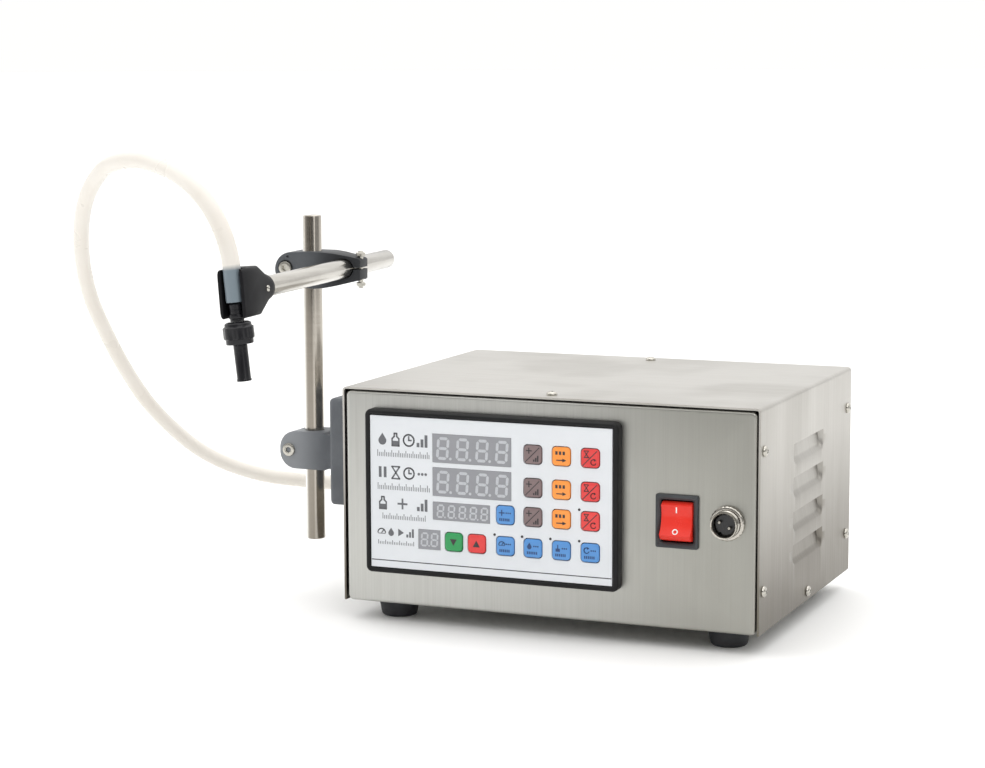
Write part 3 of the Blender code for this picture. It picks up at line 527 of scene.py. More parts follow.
def prism(polygons, y, depth):
    """Flat polygons of (x, z) points that face the front, raised from y by depth."""
    shape = bmesh.new()
    for points in polygons:
        area = sum(a[0] * b[1] - b[0] * a[1] for a, b in zip(points, points[1:] + points[:1]))
        if area < 0:
            points = points[::-1]
        near = [shape.verts.new((x, y - depth, z)) for x, z in points]
        far = [shape.verts.new((x, y, z)) for x, z in points]
        shape.faces.new(near)
        shape.faces.new(far[::-1])
        for i in range(len(points)):
            j = (i + 1) % len(points)
            shape.faces.new((near[j], near[i], far[i], far[j]))
    return shape


def stroke(points, width):
    """Rectangles along a polyline."""
    found = []
    for (x0, z0), (x1, z1) in zip(points, points[1:]):
        dx, dz = x1 - x0, z1 - z0
        long = math.hypot(dx, dz) or 1e-9
        dx, dz = dx / long * width, dz / long * width
        nx, nz, ex, ez = -dz / 2, dx / 2, dx * 0.3, dz * 0.3
        found.append([(x0 - ex + nx, z0 - ez + nz), (x0 - ex - nx, z0 - ez - nz),
                      (x1 + ex - nx, z1 + ez - nz), (x1 + ex + nx, z1 + ez + nz)])
    return found


def circle(x, z, radius, count=16, first=0, last=360):
    steps = [math.radians(first + (last - first) * i / count) for i in range(count + 1)]
    return [(x + radius * math.cos(a), z + radius * math.sin(a)) for a in steps]


def disc(x, z, radius, count=14):
    return circle(x, z, radius, count)[:-1]


def bar(x0, z0, x1, z1):
    return [(x0, z0), (x1, z0), (x1, z1), (x0, z1)]


# ---------------------------------------------------------------- camera, light and floor

def set_camera():
    lens = bpy.data.cameras.new("camera")
    lens.lens, lens.sensor_width = 88.85, 36.0
    camera = bpy.data.objects.new("camera", lens)
    bpy.context.scene.collection.objects.link(camera)
    camera.matrix_world = BOX @ Matrix.Translation((0.6414, -1.2949, 0.3366)) \
        @ Matrix.Rotation(math.radians(22.783), 4, "Z") @ Matrix.Rotation(math.radians(82.360), 4, "X") \
        @ Matrix.Rotation(math.radians(-0.206), 4, "Z")
    bpy.context.scene.camera = camera


SKY = (0.71, 1.12)      # strength at the horizon and overhead
ROOM = (0.48, 1.42)     # share of it straight in front, and behind
FRONT_CARD, CARD_SHADE = (0.387, -0.922,
                          0.0), 0.35    # direction of the front card, and both cards' brightness
LAMPS = {  # place, what it points at, width and height, watts
    "top_box": ((-0.2, 0.3, 2.4), (0, 0, 0.1), (2.2, 1.6), 10),
    "left_box": ((-2.6, -0.6, 1.1), (0, 0, 0.15), (0.7, 1.8), 5),
    "right_strip": ((2.2, -1.7, 0.9), (0.1, 0, 0.1), (0.35, 1.4), 2),
    "key_box": ((0.9, -1.7, 1.7), (0, 0, 0.1), (0.9, 0.9), 5.5)}
FLOOR_R = 60


def area_lights():
    for name, (at, towards, size, energy) in LAMPS.items():
        lamp = bpy.data.lights.new(name, "AREA")
        lamp.shape, lamp.size, lamp.size_y, lamp.energy = "RECTANGLE", *size, energy
        made = bpy.data.objects.new(name, lamp)
        bpy.context.scene.collection.objects.link(made)
        made.location = at
        made.rotation_euler = (Vector(towards) - Vector(at)).to_track_quat("-Z", "Y").to_euler()


def room():
    """A white room, darker in front, with a grey card in front and one on the right."""
    world = bpy.data.worlds.new("studio")
    bpy.context.scene.world = world
    world.use_nodes = True
    tree = world.node_tree
    direction = add_node(tree, "ShaderNodeTexCoord").outputs["Generated"]
    x, y, z = add_node(tree, "ShaderNodeSeparateXYZ", {0: direction}).outputs
    to_card = add_node(tree, "ShaderNodeVectorMath", {0: direction, 1: FRONT_CARD}, operation="DOT_PRODUCT")
    strength = ease(tree, z, 0.10, 0.75, *SKY)
    for factor in (ease(tree, y, -0.95, -0.35, *ROOM), ease(tree, to_card.outputs["Value"], 0.84, 0.95, 1.0,
                                                            CARD_SHADE),
                   ease(tree, x, 0.80, 0.93, 1.0, CARD_SHADE)):
        strength = add_node(tree, "ShaderNodeMath", {0: strength, 1: factor}, operation="MULTIPLY").outputs[0]
    background = tree.nodes["Background"]
    tree.links.new(strength, background.inputs["Strength"])
    background.inputs["Color"].default_value = (1.0, 0.995, 0.985, 1)


def floor():
    paint = Paint("floor_pale", (0.93, 0.93, 0.925), 0.0, 0.6)
    paint.tint(paint.range(paint.noise(1.2, detail=2.0), 0.3, 0.7, 0.0, 0.5), (0.95, 0.95, 0.945))
    shape = bmesh.new()
    bmesh.ops.create_circle(shape, cap_ends=True, segments=96, radius=FLOOR_R)
    finish_mesh(shape, "floor", "floor_pale", IDENTITY)


bpy.context.scene.view_settings.view_transform = "Standard"
set_camera()
room()
area_lights()
floor()


# ---------------------------------------------------------------- outlet hose

def on_nozzle(height):
    """The point on the nozzle's axis at a height above the arm's axis, in BOX coordinates."""
    return BOX.inverted() @ NOZZLE_FRAME @ Vector((0, 0, height))


ROUTE = [Vector(p) for p in (
    (0.0440, 0.2240, 0.0440), (0.0250, 0.2240, 0.0435), (-0.0200, 0.2245, 0.0420), (-0.0700, 0.2260, 0.0398),
    (-0.1080, 0.2275, 0.0388), (-0.1436, 0.2280, 0.0388), (-0.1750, 0.2250, 0.0412),
    (-0.2018, 0.2190, 0.0488),
    (-0.2200, 0.2090, 0.0606), (-0.2330, 0.1945, 0.0777), (-0.2415, 0.1755, 0.0990),
    (-0.2453, 0.1535, 0.1250),
    (-0.2446, 0.1290, 0.1528), (-0.2394, 0.1040, 0.1779), (-0.2278, 0.0770, 0.2040),
    (-0.2098, 0.0480, 0.2301),
    (-0.1858, 0.0190, 0.2532), (-0.1544, -0.0110, 0.2706), (-0.1199, -0.0390, 0.2771),
    (-0.0901, -0.0610, 0.2761),
    (-0.0555, -0.0883, 0.2697), (-0.0344, -0.0987, 0.2568), (-0.0225, -0.1031, 0.2415))]
ROUTE += [on_nozzle(h) for h in (0.0203, 0.0080, HOSE_END_Z)]


def smooth_line(points, spacing):
    """Points spaced along a Catmull-Rom curve through the route."""
    route = [2 * points[0] - points[1], *points, 2 * points[-1] - points[-2]]
    dense = []
    for before, one, other, after in zip(route, route[1:], route[2:], route[3:]):
        for i in range(24):
            t = i / 24
            squared, cubed = 2 * before - 5 * one + 4 * other - after, 3 * one - before - 3 * other + after
            dense.append(0.5 * (2 * one + (other - before) * t + squared * t ** 2 + cubed * t ** 3))
    dense.append(route[-2])
    lengths = np.concatenate([[0], np.cumsum([(b - a).length for a, b in zip(dense, dense[1:])])])
    wanted = np.linspace(0, lengths[-1], round(lengths[-1] / spacing) + 1)
    columns = [np.interp(wanted, lengths, [p[i] for p in dense]) for i in range(3)]
    return [Vector(p) for p in zip(*columns)], float(lengths[-1])


def round_rings(line, radius, sides=32):
    """A ring of points round each point of a line, on frames that don't twist."""
    along = [(line[min(i + 1, len(line) - 1)] - line[max(i - 1, 0)]).normalized() for i in range(len(line))]
    across = along[0].orthogonal().normalized()
    rings = []
    for at, ahead in zip(line, along):
        across = (across - ahead * across.dot(ahead)).normalized()
        other = ahead.cross(across)
        rings.append([at + across * (radius * math.cos(a)) + other * (radius * math.sin(a))
                      for a in (2 * math.pi * k / sides for k in range(sides))])
    return rings


HOSE_SKIN = 0.00006     # the visual hose is this much larger in radius than its node
HOSE_STEP = 0.0030
HOLDER_TOP, SHADE_FADE, SHADE_SHARE = 0.0150, 0.0015, 0.90      # of the painted shade inside the holder


def hose():
    """The hose in six stretches, end to end: fixed at each end, and one across each joint of the stand."""
    line, total = smooth_line(ROUTE, HOSE_STEP)
    line = [BOX @ p for p in line]
    rings = round_rings(line, HOSE_R + HOSE_SKIN)
    last = total - 0.062
    shares = {"hose_at_box": (0.0, 0.105, "root", None), "hose_behind_post": (0.105, 0.330, "root", "post"),
              "hose_rising": (0.330, 0.560, "post", "clamp"), "hose_over_top": (0.560, 0.700, "clamp", "arm"),
              "hose_falling": (0.700, last, "arm", "nozzle"), "hose_at_nozzle": (last, total, "nozzle", None)}
    step = total / (len(line) - 1)
    for name, (start, end, first, second) in shares.items():
        low, high = round(start / step), round(end / step)
        made = finish_mesh(loft(rings[low:high + 1]), name, "silicone", IDENTITY, 60)
        heights = [max(0.0, min(1.0, (HOLDER_TOP - (NOZZLE_FRAME.inverted() @ v.co).z) / SHADE_FADE))
                   if name == "hose_at_nozzle" else 0.0 for v in made.data.vertices]
        shade = made.data.attributes.new("shade_behind", "FLOAT", "POINT")
        shade.data.foreach_set("value", np.array(heights, np.float32) * SHADE_SHARE)
        if second:
            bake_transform(made)
        else:
            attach(made, first)
        if name == "hose_at_box":
            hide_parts("outlet_hose")


hose()


# ---------------------------------------------------------------- case

BEND = [math.pi / 2 * i / 6 for i in range(7)]      # angles round a folded edge


def pan(y_face, inward, corner=0.0035):
    """One folded end of the tray, with flanges bent away. inward is +1 for the front, -1 for the back."""
    half_w, half_h = BOX_W / 2 - TRAY_IN, (BOX_H - TRAY_IN) / 2
    outer = [(0, FLANGE)] + [(TRAY_BEND * (1 - math.cos(a)), TRAY_BEND * (1 - math.sin(a))) for a in BEND]
    inner = [(SHEET + 0.0006, SHEET), (SHEET, SHEET + 0.0006), (SHEET, FLANGE)]
    profile = [(inset, y_face + inward * depth) for inset, depth in inner + outer]
    return framed(BOX_W / 2, FOOT_H + half_h, half_w, half_h, corner, profile)


def louvre_depth(y, z, top):
    """How far the cover is pressed in at a point of a louvre. The deepest line is its sheared top edge."""
    from_end = min(y - LOUVRE_Y[0], LOUVRE_Y[1] - y)
    from_foot = z - (top - LOUVRE_H)
    if from_end <= 0 or from_foot <= 0:
        return 0.0
    inside = min(from_end, from_foot)
    if from_end < LOUVRE_CORNER and from_foot < LOUVRE_CORNER:
        inside = LOUVRE_CORNER - math.hypot(LOUVRE_CORNER - from_end, LOUVRE_CORNER - from_foot)
    if inside <= 0:
        return 0.0
    rise = min(1.0, inside / LOUVRE_STEP)
    return LOUVRE_DEPTH * rise * rise * (3 - 2 * rise) * (0.38 + 0.62 * from_foot / LOUVRE_H)


def cover():
    """Top and sides in one bent sheet. Four louvres are pressed into the right side, open along the top."""
    profile = [(0.0, FOOT_H + (BOX_H - COVER_BEND) * i / 6, None) for i in range(7)]
    round_in = [(COVER_BEND * (1 - math.cos(a)), COVER_BEND * (1 - math.sin(a))) for a in BEND[1:]]
    profile += [(a, BOX_TOP - b, None) for a, b in round_in]
    profile += [(COVER_BEND + (BOX_W - 2 * COVER_BEND) * i / 8, BOX_TOP, None) for i in range(1, 9)]
    profile += [(BOX_W - b, BOX_TOP - a, None) for a, b in round_in]
    for top in LOUVRE_TOPS:
        profile.append((BOX_W, top, None))
        profile += [(BOX_W, top - LOUVRE_H * i / 9, top) for i in range(10)]
    profile.append((BOX_W, FOOT_H, None))
    ends = [LOUVRE_Y[0] + 0.0008 * i for i in range(9)]
    ys = [BOX_D * i / 200 for i in (0, 3, 20, 45, 60)] + ends
    ys += [ends[-1] + (LOUVRE_Y[1] - 0.0064 - ends[-1]) * i / 12 for i in range(1, 12)]
    ys += [LOUVRE_Y[1] - y + LOUVRE_Y[0] for y in reversed(ends)] + [0.142, 0.160, 0.180, 0.197, BOX_D]
    shape = bmesh.new()
    grid = [[shape.verts.new((x - (louvre_depth(y, z, top) if top else 0.0), y, z)) for y in ys]
            for x, z, top in profile]
    for i, (one, other) in enumerate(zip(profile, profile[1:])):
        sheared = one[2] is None and other[2] is not None and one[1] == other[1]
        if not sheared:
            for j in range(len(ys) - 1):
                shape.faces.new((grid[i][j], grid[i][j + 1], grid[i + 1][j + 1], grid[i + 1][j]))
    bmesh.ops.remove_doubles(shape, verts=shape.verts, dist=1e-6)
    bmesh.ops.recalc_face_normals(shape, faces=shape.faces)
    middle = Vector((BOX_W / 2, BOX_D / 2, FOOT_H + BOX_H / 2))
    outward = sum((f.calc_center_median() - middle).dot(f.normal) > 0
                  for f in shape.faces) > len(shape.faces) / 2
    sheet = linked("sheet", shape)
    thick = sheet.modifiers.new("sheet", "SOLIDIFY")
    thick.thickness, thick.offset = SHEET, -1 if outward else 1
    solid = applied(sheet)
    bpy.data.objects.remove(sheet)
    piece(solid, "cover_sheet", "steel_cover", replaces=["top_cover"], angle=40)


def dome_screw():
    """A pan head with a cross recess, its flat side on z = 0."""
    head = lathe(mm((0.01, 0), (3.1, 0), (3.3, 0.3), (3.2, 0.9), (2.8, 1.4), (2.1, 1.8), (1.2, 2),
                    (0.01, 2.05)), 28)
    arms = [block((-a, -b, 0.0009), (a, b, 0.004)) for a, b in ((0.0016, 0.00032), (0.00032, 0.0016))]
    return boolean(head, "DIFFERENCE", *arms)


def case_screws():
    """Five screws on each side, two on the top, and the two that hold the power inlet."""
    places = {}
    on_side = ((0.0075, 0.105), (0.0075, 0.0245), (0.191, 0.105), (0.191, 0.0245), (0.102, 0.0055))
    for side, x, ahead in (("right", BOX_W, 1), ("left", 0.0, -1)):
        for i, (y, z) in enumerate(on_side, 1):
            places[f"screw_{side}_{i}"] = ((x, y, FOOT_H + z), (ahead, 0, 0), i * 23 + ahead * 11)
    for i, y in enumerate((0.012, 0.188), 1):
        places[f"screw_top_{i}"] = ((0.130, y, BOX_TOP), (0, 0, 1), i * 31)
    x, z = POWER_INLET_AT
    for i, side in enumerate((-1, 1), 1):
        places[f"screw_inlet_{i}"] = ((x + side * 0.0198, BOX_D + 0.0032, z), (0, 1, 0), i * 40)
    master = dome_screw()
    for name, (at, direction, spin) in places.items():
        small = 0.62 if "inlet" in name else 1.0
        turn = facing(at, direction) @ Matrix.Rotation(math.radians(spin), 4, "Z") @ Matrix.Scale(small, 4)
        piece(master.copy(), name, "screw_steel", "root", turn, angle=30)
    master.free()


FOOT_INSET = 0.025


def upright_at(x, y, z=0.0):
    return BOX @ Matrix.Translation((x, y, z))


def case():
    """Tray, cover, screws and feet."""
    (switch_x, switch_z), (inlet_x, inlet_z) = SWITCH_AT, POWER_INLET_AT
    half_w, half_h, deep = 0.0109, 0.0137, 0.01
    hole = block((switch_x - half_w, -deep, switch_z - half_h), (switch_x + half_w, deep, switch_z + half_h))
    piece(boolean(pan(0.0, 1), "DIFFERENCE", hole), "tray_front", "steel_front", replaces=["chassis_tray"])
    half_w, half_h = 0.0135, 0.0100
    hole = block((inlet_x - half_w, BOX_D - deep, inlet_z - half_h),
                 (inlet_x + half_w, BOX_D + deep, inlet_z + half_h))
    piece(boolean(pan(BOX_D, -1), "DIFFERENCE", hole), "tray_back", "steel_front")
    floor = block((TRAY_IN, FLANGE, FOOT_H), (BOX_W - TRAY_IN, BOX_D - FLANGE, FOOT_H + SHEET))
    piece(floor, "tray_floor", "steel_front")
    cover()
    case_screws()
    profile = [(TINY, FOOT_H - 0.0003), (0.0121, FOOT_H - 0.0003), (0.0124, 0.0112), (0.0124, 0.0086),
               (0.0120, 0.0078),
               (0.0112, 0.0030), (0.0107, 0.0010), (0.0099, 0.0002), (0.0092, 0), (0.0066, 0),
               (0.0062, 0.0006), (TINY, 0.0006)]
    for side, x in (("left", FOOT_INSET), ("right", BOX_W - FOOT_INSET)):
        for end, y in (("front", FOOT_INSET), ("back", BOX_D - FOOT_INSET)):
            name = f"foot_{end}_{side}"
            piece(lathe(profile, 40), f"{name}_rubber", "rubber", "root", upright_at(x, y), [name])


case()


# ---------------------------------------------------------------- panel

SEGMENTS = {  # ends of each stroke in a 1 x 2 digit, inset so that neighbours don't touch
    "top": ((0.05, 2.0), (0.95, 2.0)), "middle": ((0.05, 1.0), (0.95, 1.0)),
    "bottom": ((0.05, 0.0), (0.95, 0.0)),
    "upper_left": ((0.0, 1.05), (0.0, 1.95)), "upper_right": ((1.0, 1.05), (1.0, 1.95)),
    "lower_left": ((0.0, 0.05), (0.0, 0.95)), "lower_right": ((1.0, 0.05), (1.0, 0.95))}


def digit(x, z, width, height, thick, dot=True, lean=0.08):
    """The seven pointed segments and the dot of one display digit, with its lower left corner at (x, z)."""
    place = lambda a, b: (x + a * width + b * height / 2 * lean, z + b * height / 2)
    found = []
    for (a0, b0), (a1, b1) in SEGMENTS.values():
        (x0, z0), (x1, z1) = place(a0, b0), place(a1, b1)
        long = math.hypot(x1 - x0, z1 - z0)
        ex, ez = (x1 - x0) / long * thick / 2, (z1 - z0) / long * thick / 2
        found.append([(x0, z0), (x0 + ex - ez, z0 + ez + ex), (x1 - ex - ez, z1 - ez + ex), (x1, z1),
                      (x1 - ex + ez, z1 - ez - ex), (x0 + ex + ez, z0 + ez - ex)])
    if dot:
        found.append(disc(x + width * 1.36, z, thick * 0.50, 10))
    return found


# window, digits, first digit's left edge from the window's, pitch, digit width and height, stroke
READOUTS = {"display_fill_time": (4, 0.0032, 0.01250, 0.0062, 0.0118, 0.00170),
            "display_wait_time": (4, 0.0032, 0.01250, 0.0062, 0.0118, 0.00170),
            "display_count": (5, 0.0030, 0.00700, 0.0036, 0.0070, 0.00105),
            "display_speed": (2, 0.0020, 0.00640, 0.0037, 0.0074, 0.00105)}


def displays():
    for name, (count, first, pitch, width, height, thick) in READOUTS.items():
        low, high = (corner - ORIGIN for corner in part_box(name))
        pane = framed((low.x + high.x) / 2, (low.z + high.z) / 2, (high.x - low.x) / 2, (high.z - low.z) / 2,
                      0.0004,
                      [(0, -0.0050), (0, FILM_Y - 0.0001), (0.0003, FILM_Y - 0.0003)], steps=2)
        piece(pane, f"{name}_window", "window_grey", replaces=[name], angle=30)
        foot = (low.z + high.z) / 2 - height / 2
        shapes = [p for i in range(count)
                  for p in digit(low.x + first + i * pitch, foot, width, height, thick, i < count - 1)]
        piece(prism(shapes, FILM_Y - 0.0003, 0.00005), f"{name}_digits", "segment_pale")


LINE = 0.26     # of a sign's lines, where the sign reaches from -1 to 1
SIGNS = {       # generic signs: polygons by name
    "drop": [[(0, 1)] + circle(0, -0.25, 0.70, 12, 25, -205)],
    "bottle": stroke([(-0.22, 1), (-0.22, 0.5), (-0.6, 0.15), (-0.6, -1), (0.6, -1), (0.6, 0.15), (0.22, 0.5),
                      (0.22, 1),
                      (-0.22, 1)], LINE) + [bar(-0.5, -0.9, 0.5, -0.2)],
    "clock": stroke(circle(0, 0, 0.92, 20), LINE) + stroke([(0, 0.6), (0, 0), (0.45, 0)], LINE),
    "hourglass": stroke([(-0.7, 1), (0.7, 1), (-0.7, -1), (0.7, -1), (-0.7, 1)], LINE),
    "pause": [bar(-0.7, -0.9, -0.2, 0.9), bar(0.2, -0.9, 0.7, 0.9)],
    "play": [[(-0.6, -0.9), (0.85, 0), (-0.6, 0.9)]],
    "steps": [bar(-0.95, -1, -0.45, -0.3), bar(-0.25, -1, 0.25, 0.3), bar(0.45, -1, 0.95, 1)],
    "gauge": stroke(circle(0, -0.3, 0.95, 14, 0, 180), LINE) + stroke([(0, -0.3), (0.5, 0.35)], LINE)
    + [bar(-0.95, -0.55, 0.95, -0.38)],
    "loop": stroke(circle(0, 0, 0.8, 16, 60, 340), LINE) + [[(0.25, 1.05), (0.85, 0.62), (0.2, 0.25)]],
    "hand": [bar(-0.15, -0.2, 0.15, 1), bar(-0.65, -1, 0.65, -0.1)],
    "dots": [disc(k * 0.62, 0, 0.24, 10) for k in (-1, 0, 1)],
    "plus": [bar(-0.9, -0.16, 0.9, 0.16), bar(-0.16, 0.16, 0.16, 0.9), bar(-0.16, -0.9, 0.16, -0.16)],
    "down": [[(-0.85, 0.7), (0.85, 0.7), (0, -0.8)]],
    "up": [[(-0.85, -0.7), (0.85, -0.7), (0, 0.8)]]}


def sign(name, x, z, size):
    """A sign about size across, centred on (x, z)."""
    return [[(x + a * size / 2, z + b * size / 2) for a, b in polygon] for polygon in SIGNS[name]]


def scale_marks(x0, x1, z, height, pitch=0.00115):
    """A row of ruler ticks, every fourth one taller."""
    count = round((x1 - x0) / pitch)
    starts = [x0 + i * pitch for i in range(count + 1)]
    return [bar(x, z, x + pitch * 0.36, z + height * (0.62 if i % 4 else 1.0)) for i, x in enumerate(starts)]


# beside each display: its signs, their size, first one's x, pitch and height, then the ruler's ends,
# height and tick length. Heights are over the feet
LEGENDS = [
    (("drop", "bottle", "clock", "steps"), 0.0074, 0.0295, 0.0086, 0.1010, (0.0262, 0.0590), 0.0906, 0.0040),
    (("pause", "hourglass", "clock", "dots"), 0.0072, 0.0295, 0.0086, 0.0812, (0.0262, 0.0590), 0.0707,
     0.0040),
    (("bottle", "plus", "steps"), 0.0072, 0.0295, 0.0128, 0.0626, (0.0292, 0.0570), 0.0530, 0.0036),
    (("gauge", "drop", "play", "steps"), 0.0052, 0.0285, 0.0062, 0.0452, (0.0262, 0.0492), 0.0376, 0.0026)]
BASE_LINE_Z = FOOT_H + 0.0276


def film_sheet(places):
    """The film itself, with a hole for each key and each window."""
    (left, right), (bottom, top) = PANEL_X, PANEL_Z
    edge = PANEL_RIM + 0.0002
    sheet = block((left + edge, FILM_Y, bottom + edge), (right - edge, FILM_Y + 0.0018, top - edge))
    holes = [[(x + a, z + b) for a, b in rounded_rect(KEY_W / 2 + 0.0005, KEY_H / 2 + 0.0005, 0.0026, 6)]
             for _, _, x, z in places]
    for name in READOUTS:
        low, high = (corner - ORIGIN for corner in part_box(name))
        holes.append(bar(low.x - 0.0001, low.z - 0.0001, high.x + 0.0001, high.z + 0.0001))
    piece(boolean(sheet, "DIFFERENCE", prism(holes, FILM_Y + 0.004, 0.008)), "film_sheet", "film_white",
          "root",
          replaces=["panel_overlay"], angle=30)


def film():
    """What is printed on the film: legends, one rule near the bottom, and the lamp dots beside five keys."""
    marks = []
    for signs, size, first, pitch, z, (left, right), foot, tall in LEGENDS:
        for i, name in enumerate(signs):
            marks += sign(name, first + i * pitch, FOOT_H + z, size)
        marks += scale_marks(left, right, FOOT_H + foot, tall)
    piece(prism(marks, FILM_Y, 0.00004), "film_legends", "ink_grey")
    rule = [bar(PANEL_X[0] + PANEL_RIM + 0.0004, BASE_LINE_Z, PANEL_X[1] - PANEL_RIM - 0.0004,
                BASE_LINE_Z + 0.0006)]
    piece(prism(rule, FILM_Y, 0.00004), "film_rule", "ink_line")
    lamps = [(x - KEY_W / 2 - 0.0013, KEY_BASE_ROW + KEY_H / 2 + 0.0010) for x in KEY_BASE_COLUMNS]
    lamps.append((KEY_COLUMNS[2] - KEY_W / 2 - 0.0013, KEY_ROWS[2] + KEY_H / 2 + 0.0010))
    piece(prism([disc(x, z, 0.00075, 16) for x, z in lamps], FILM_Y, 0.00025), "film_lamps", "ink_dark")


def key_cap(x, z):
    """An embossed key with a soft rim and a slightly hollow crown."""
    profile = [(0, -0.0056), (0, FILM_Y - 0.0001), (0.00010, FILM_Y - 0.00055), (0.00045, FILM_Y - 0.00092),
               (0.00100, FILM_Y - 0.00105), (0.0022, FILM_Y - 0.00100), (0.0040, FILM_Y - 0.00096)]
    return framed(x, z, KEY_W / 2, KEY_H / 2, 0.0022, profile, steps=6)


def key_marks(kind, x, z):
    """The signs on one key: polygons, and their ink."""
    small = lambda name, a, b, size: sign(name, x + a, z + b, size)
    slash = stroke([(x - 0.0043, z - 0.0043), (x + 0.0043, z + 0.0043)], 0.0005)
    ticks = lambda b, n, tall: [bar(x - 0.0034 + i * 0.0068 / n, z + b, x - 0.0034 + (i + 0.62) * 0.0068 / n,
                                    z + b + tall) for i in range(n)]
    if kind == "digit":
        return slash + small("plus", -0.0021, 0.0023, 0.0040) + small("steps", 0.0022, -0.0022,
                                                                      0.0036), "ink_dark"
    if kind == "shift":
        return ticks(0.0010, 3, 0.0020) + stroke([(x - 0.0026, z - 0.0022), (x + 0.0012, z - 0.0022)],
                                                 0.0006) \
            + [[(x + 0.0010, z - 0.0033), (x + 0.0034, z - 0.0022), (x + 0.0010, z - 0.0011)]], "ink_dark"
    if kind == "cancel":
        return slash + small("hourglass", -0.0021, 0.0023, 0.0038) + small("loop", 0.0022, -0.0022,
                                                                           0.0040), "ink_dark"
    if kind in ("up", "down"):
        return small(kind, 0, 0, 0.0052), "ink_dark"
    return small(kind, -0.0019, 0.0014, 0.0040) + small("dots", 0.0022, 0.0014, 0.0040) \
        + ticks(-0.0034, 6, 0.0016), "ink_navy"


def keys():
    layout = {"key_count_set": ("plus", "key_blue", KEY_BASE_COLUMNS[0], KEY_ROWS[2]),
              "key_speed_down": ("down", "key_green", 0.0755, KEY_BASE_ROW),
              "key_speed_up": ("up", "key_red", 0.0902, KEY_BASE_ROW)}
    for row, z in enumerate(KEY_ROWS, 1):
        for kind, paint, x in zip(("digit", "shift", "cancel"), ("key_brown", "key_orange", "key_red"),
                                  KEY_COLUMNS):
            layout[f"key_{kind}_{row}"] = (kind, paint, x, z)
    for number, (x, kind) in enumerate(zip(KEY_BASE_COLUMNS, ("gauge", "drop", "hand", "loop")), 1):
        layout[f"key_mode_{number}"] = (kind, "key_blue", x, KEY_BASE_ROW)
    film_sheet(layout.values())
    for name, (kind, paint, x, z) in layout.items():
        piece(key_cap(x, z), f"{name}_cap", paint, f"{name}_cap", replaces=[name])
        marks, ink = key_marks(kind, x, z)
        piece(prism(marks, FILM_Y - 0.00098, 0.00010), f"{name}_marks", ink, f"{name}_cap")


def panel():
    (left, right), (bottom, top) = PANEL_X, PANEL_Z
    front = -PANEL_PROUD
    profile = [(0, -0.0003), (0, front + 0.0022), (0.00025, front + 0.0011), (0.00085, front + 0.0003),
               (0.0016, front),
               (0.0023, front + 0.0001), (0.0028, front + 0.0005), (0.0031, front + 0.0012),
               (PANEL_RIM, front + 0.0016),
               (PANEL_RIM, -PANEL_POCKET), (0.014, -PANEL_POCKET), (0.014, -0.0003)]
    frame_shape = framed((left + right) / 2, (bottom + top) / 2, (right - left) / 2, (top - bottom) / 2,
                         0.0038, profile,
                         close=True, steps=7)
    piece(frame_shape, "bezel_frame", "bezel_black", replaces=["panel_bezel"])
    back = block((left + 0.0135, -0.0044, bottom + 0.0135), (right - 0.0135, -0.0030, top - 0.0135))
    piece(back, "bezel_floor", "bezel_black")
    displays()
    film()
    keys()


panel()


# ---------------------------------------------------------------- switch and socket

LIP, LIP_DEPTH = 0.0013, 0.0014    # the chamfer along the rocker's top and bottom edges


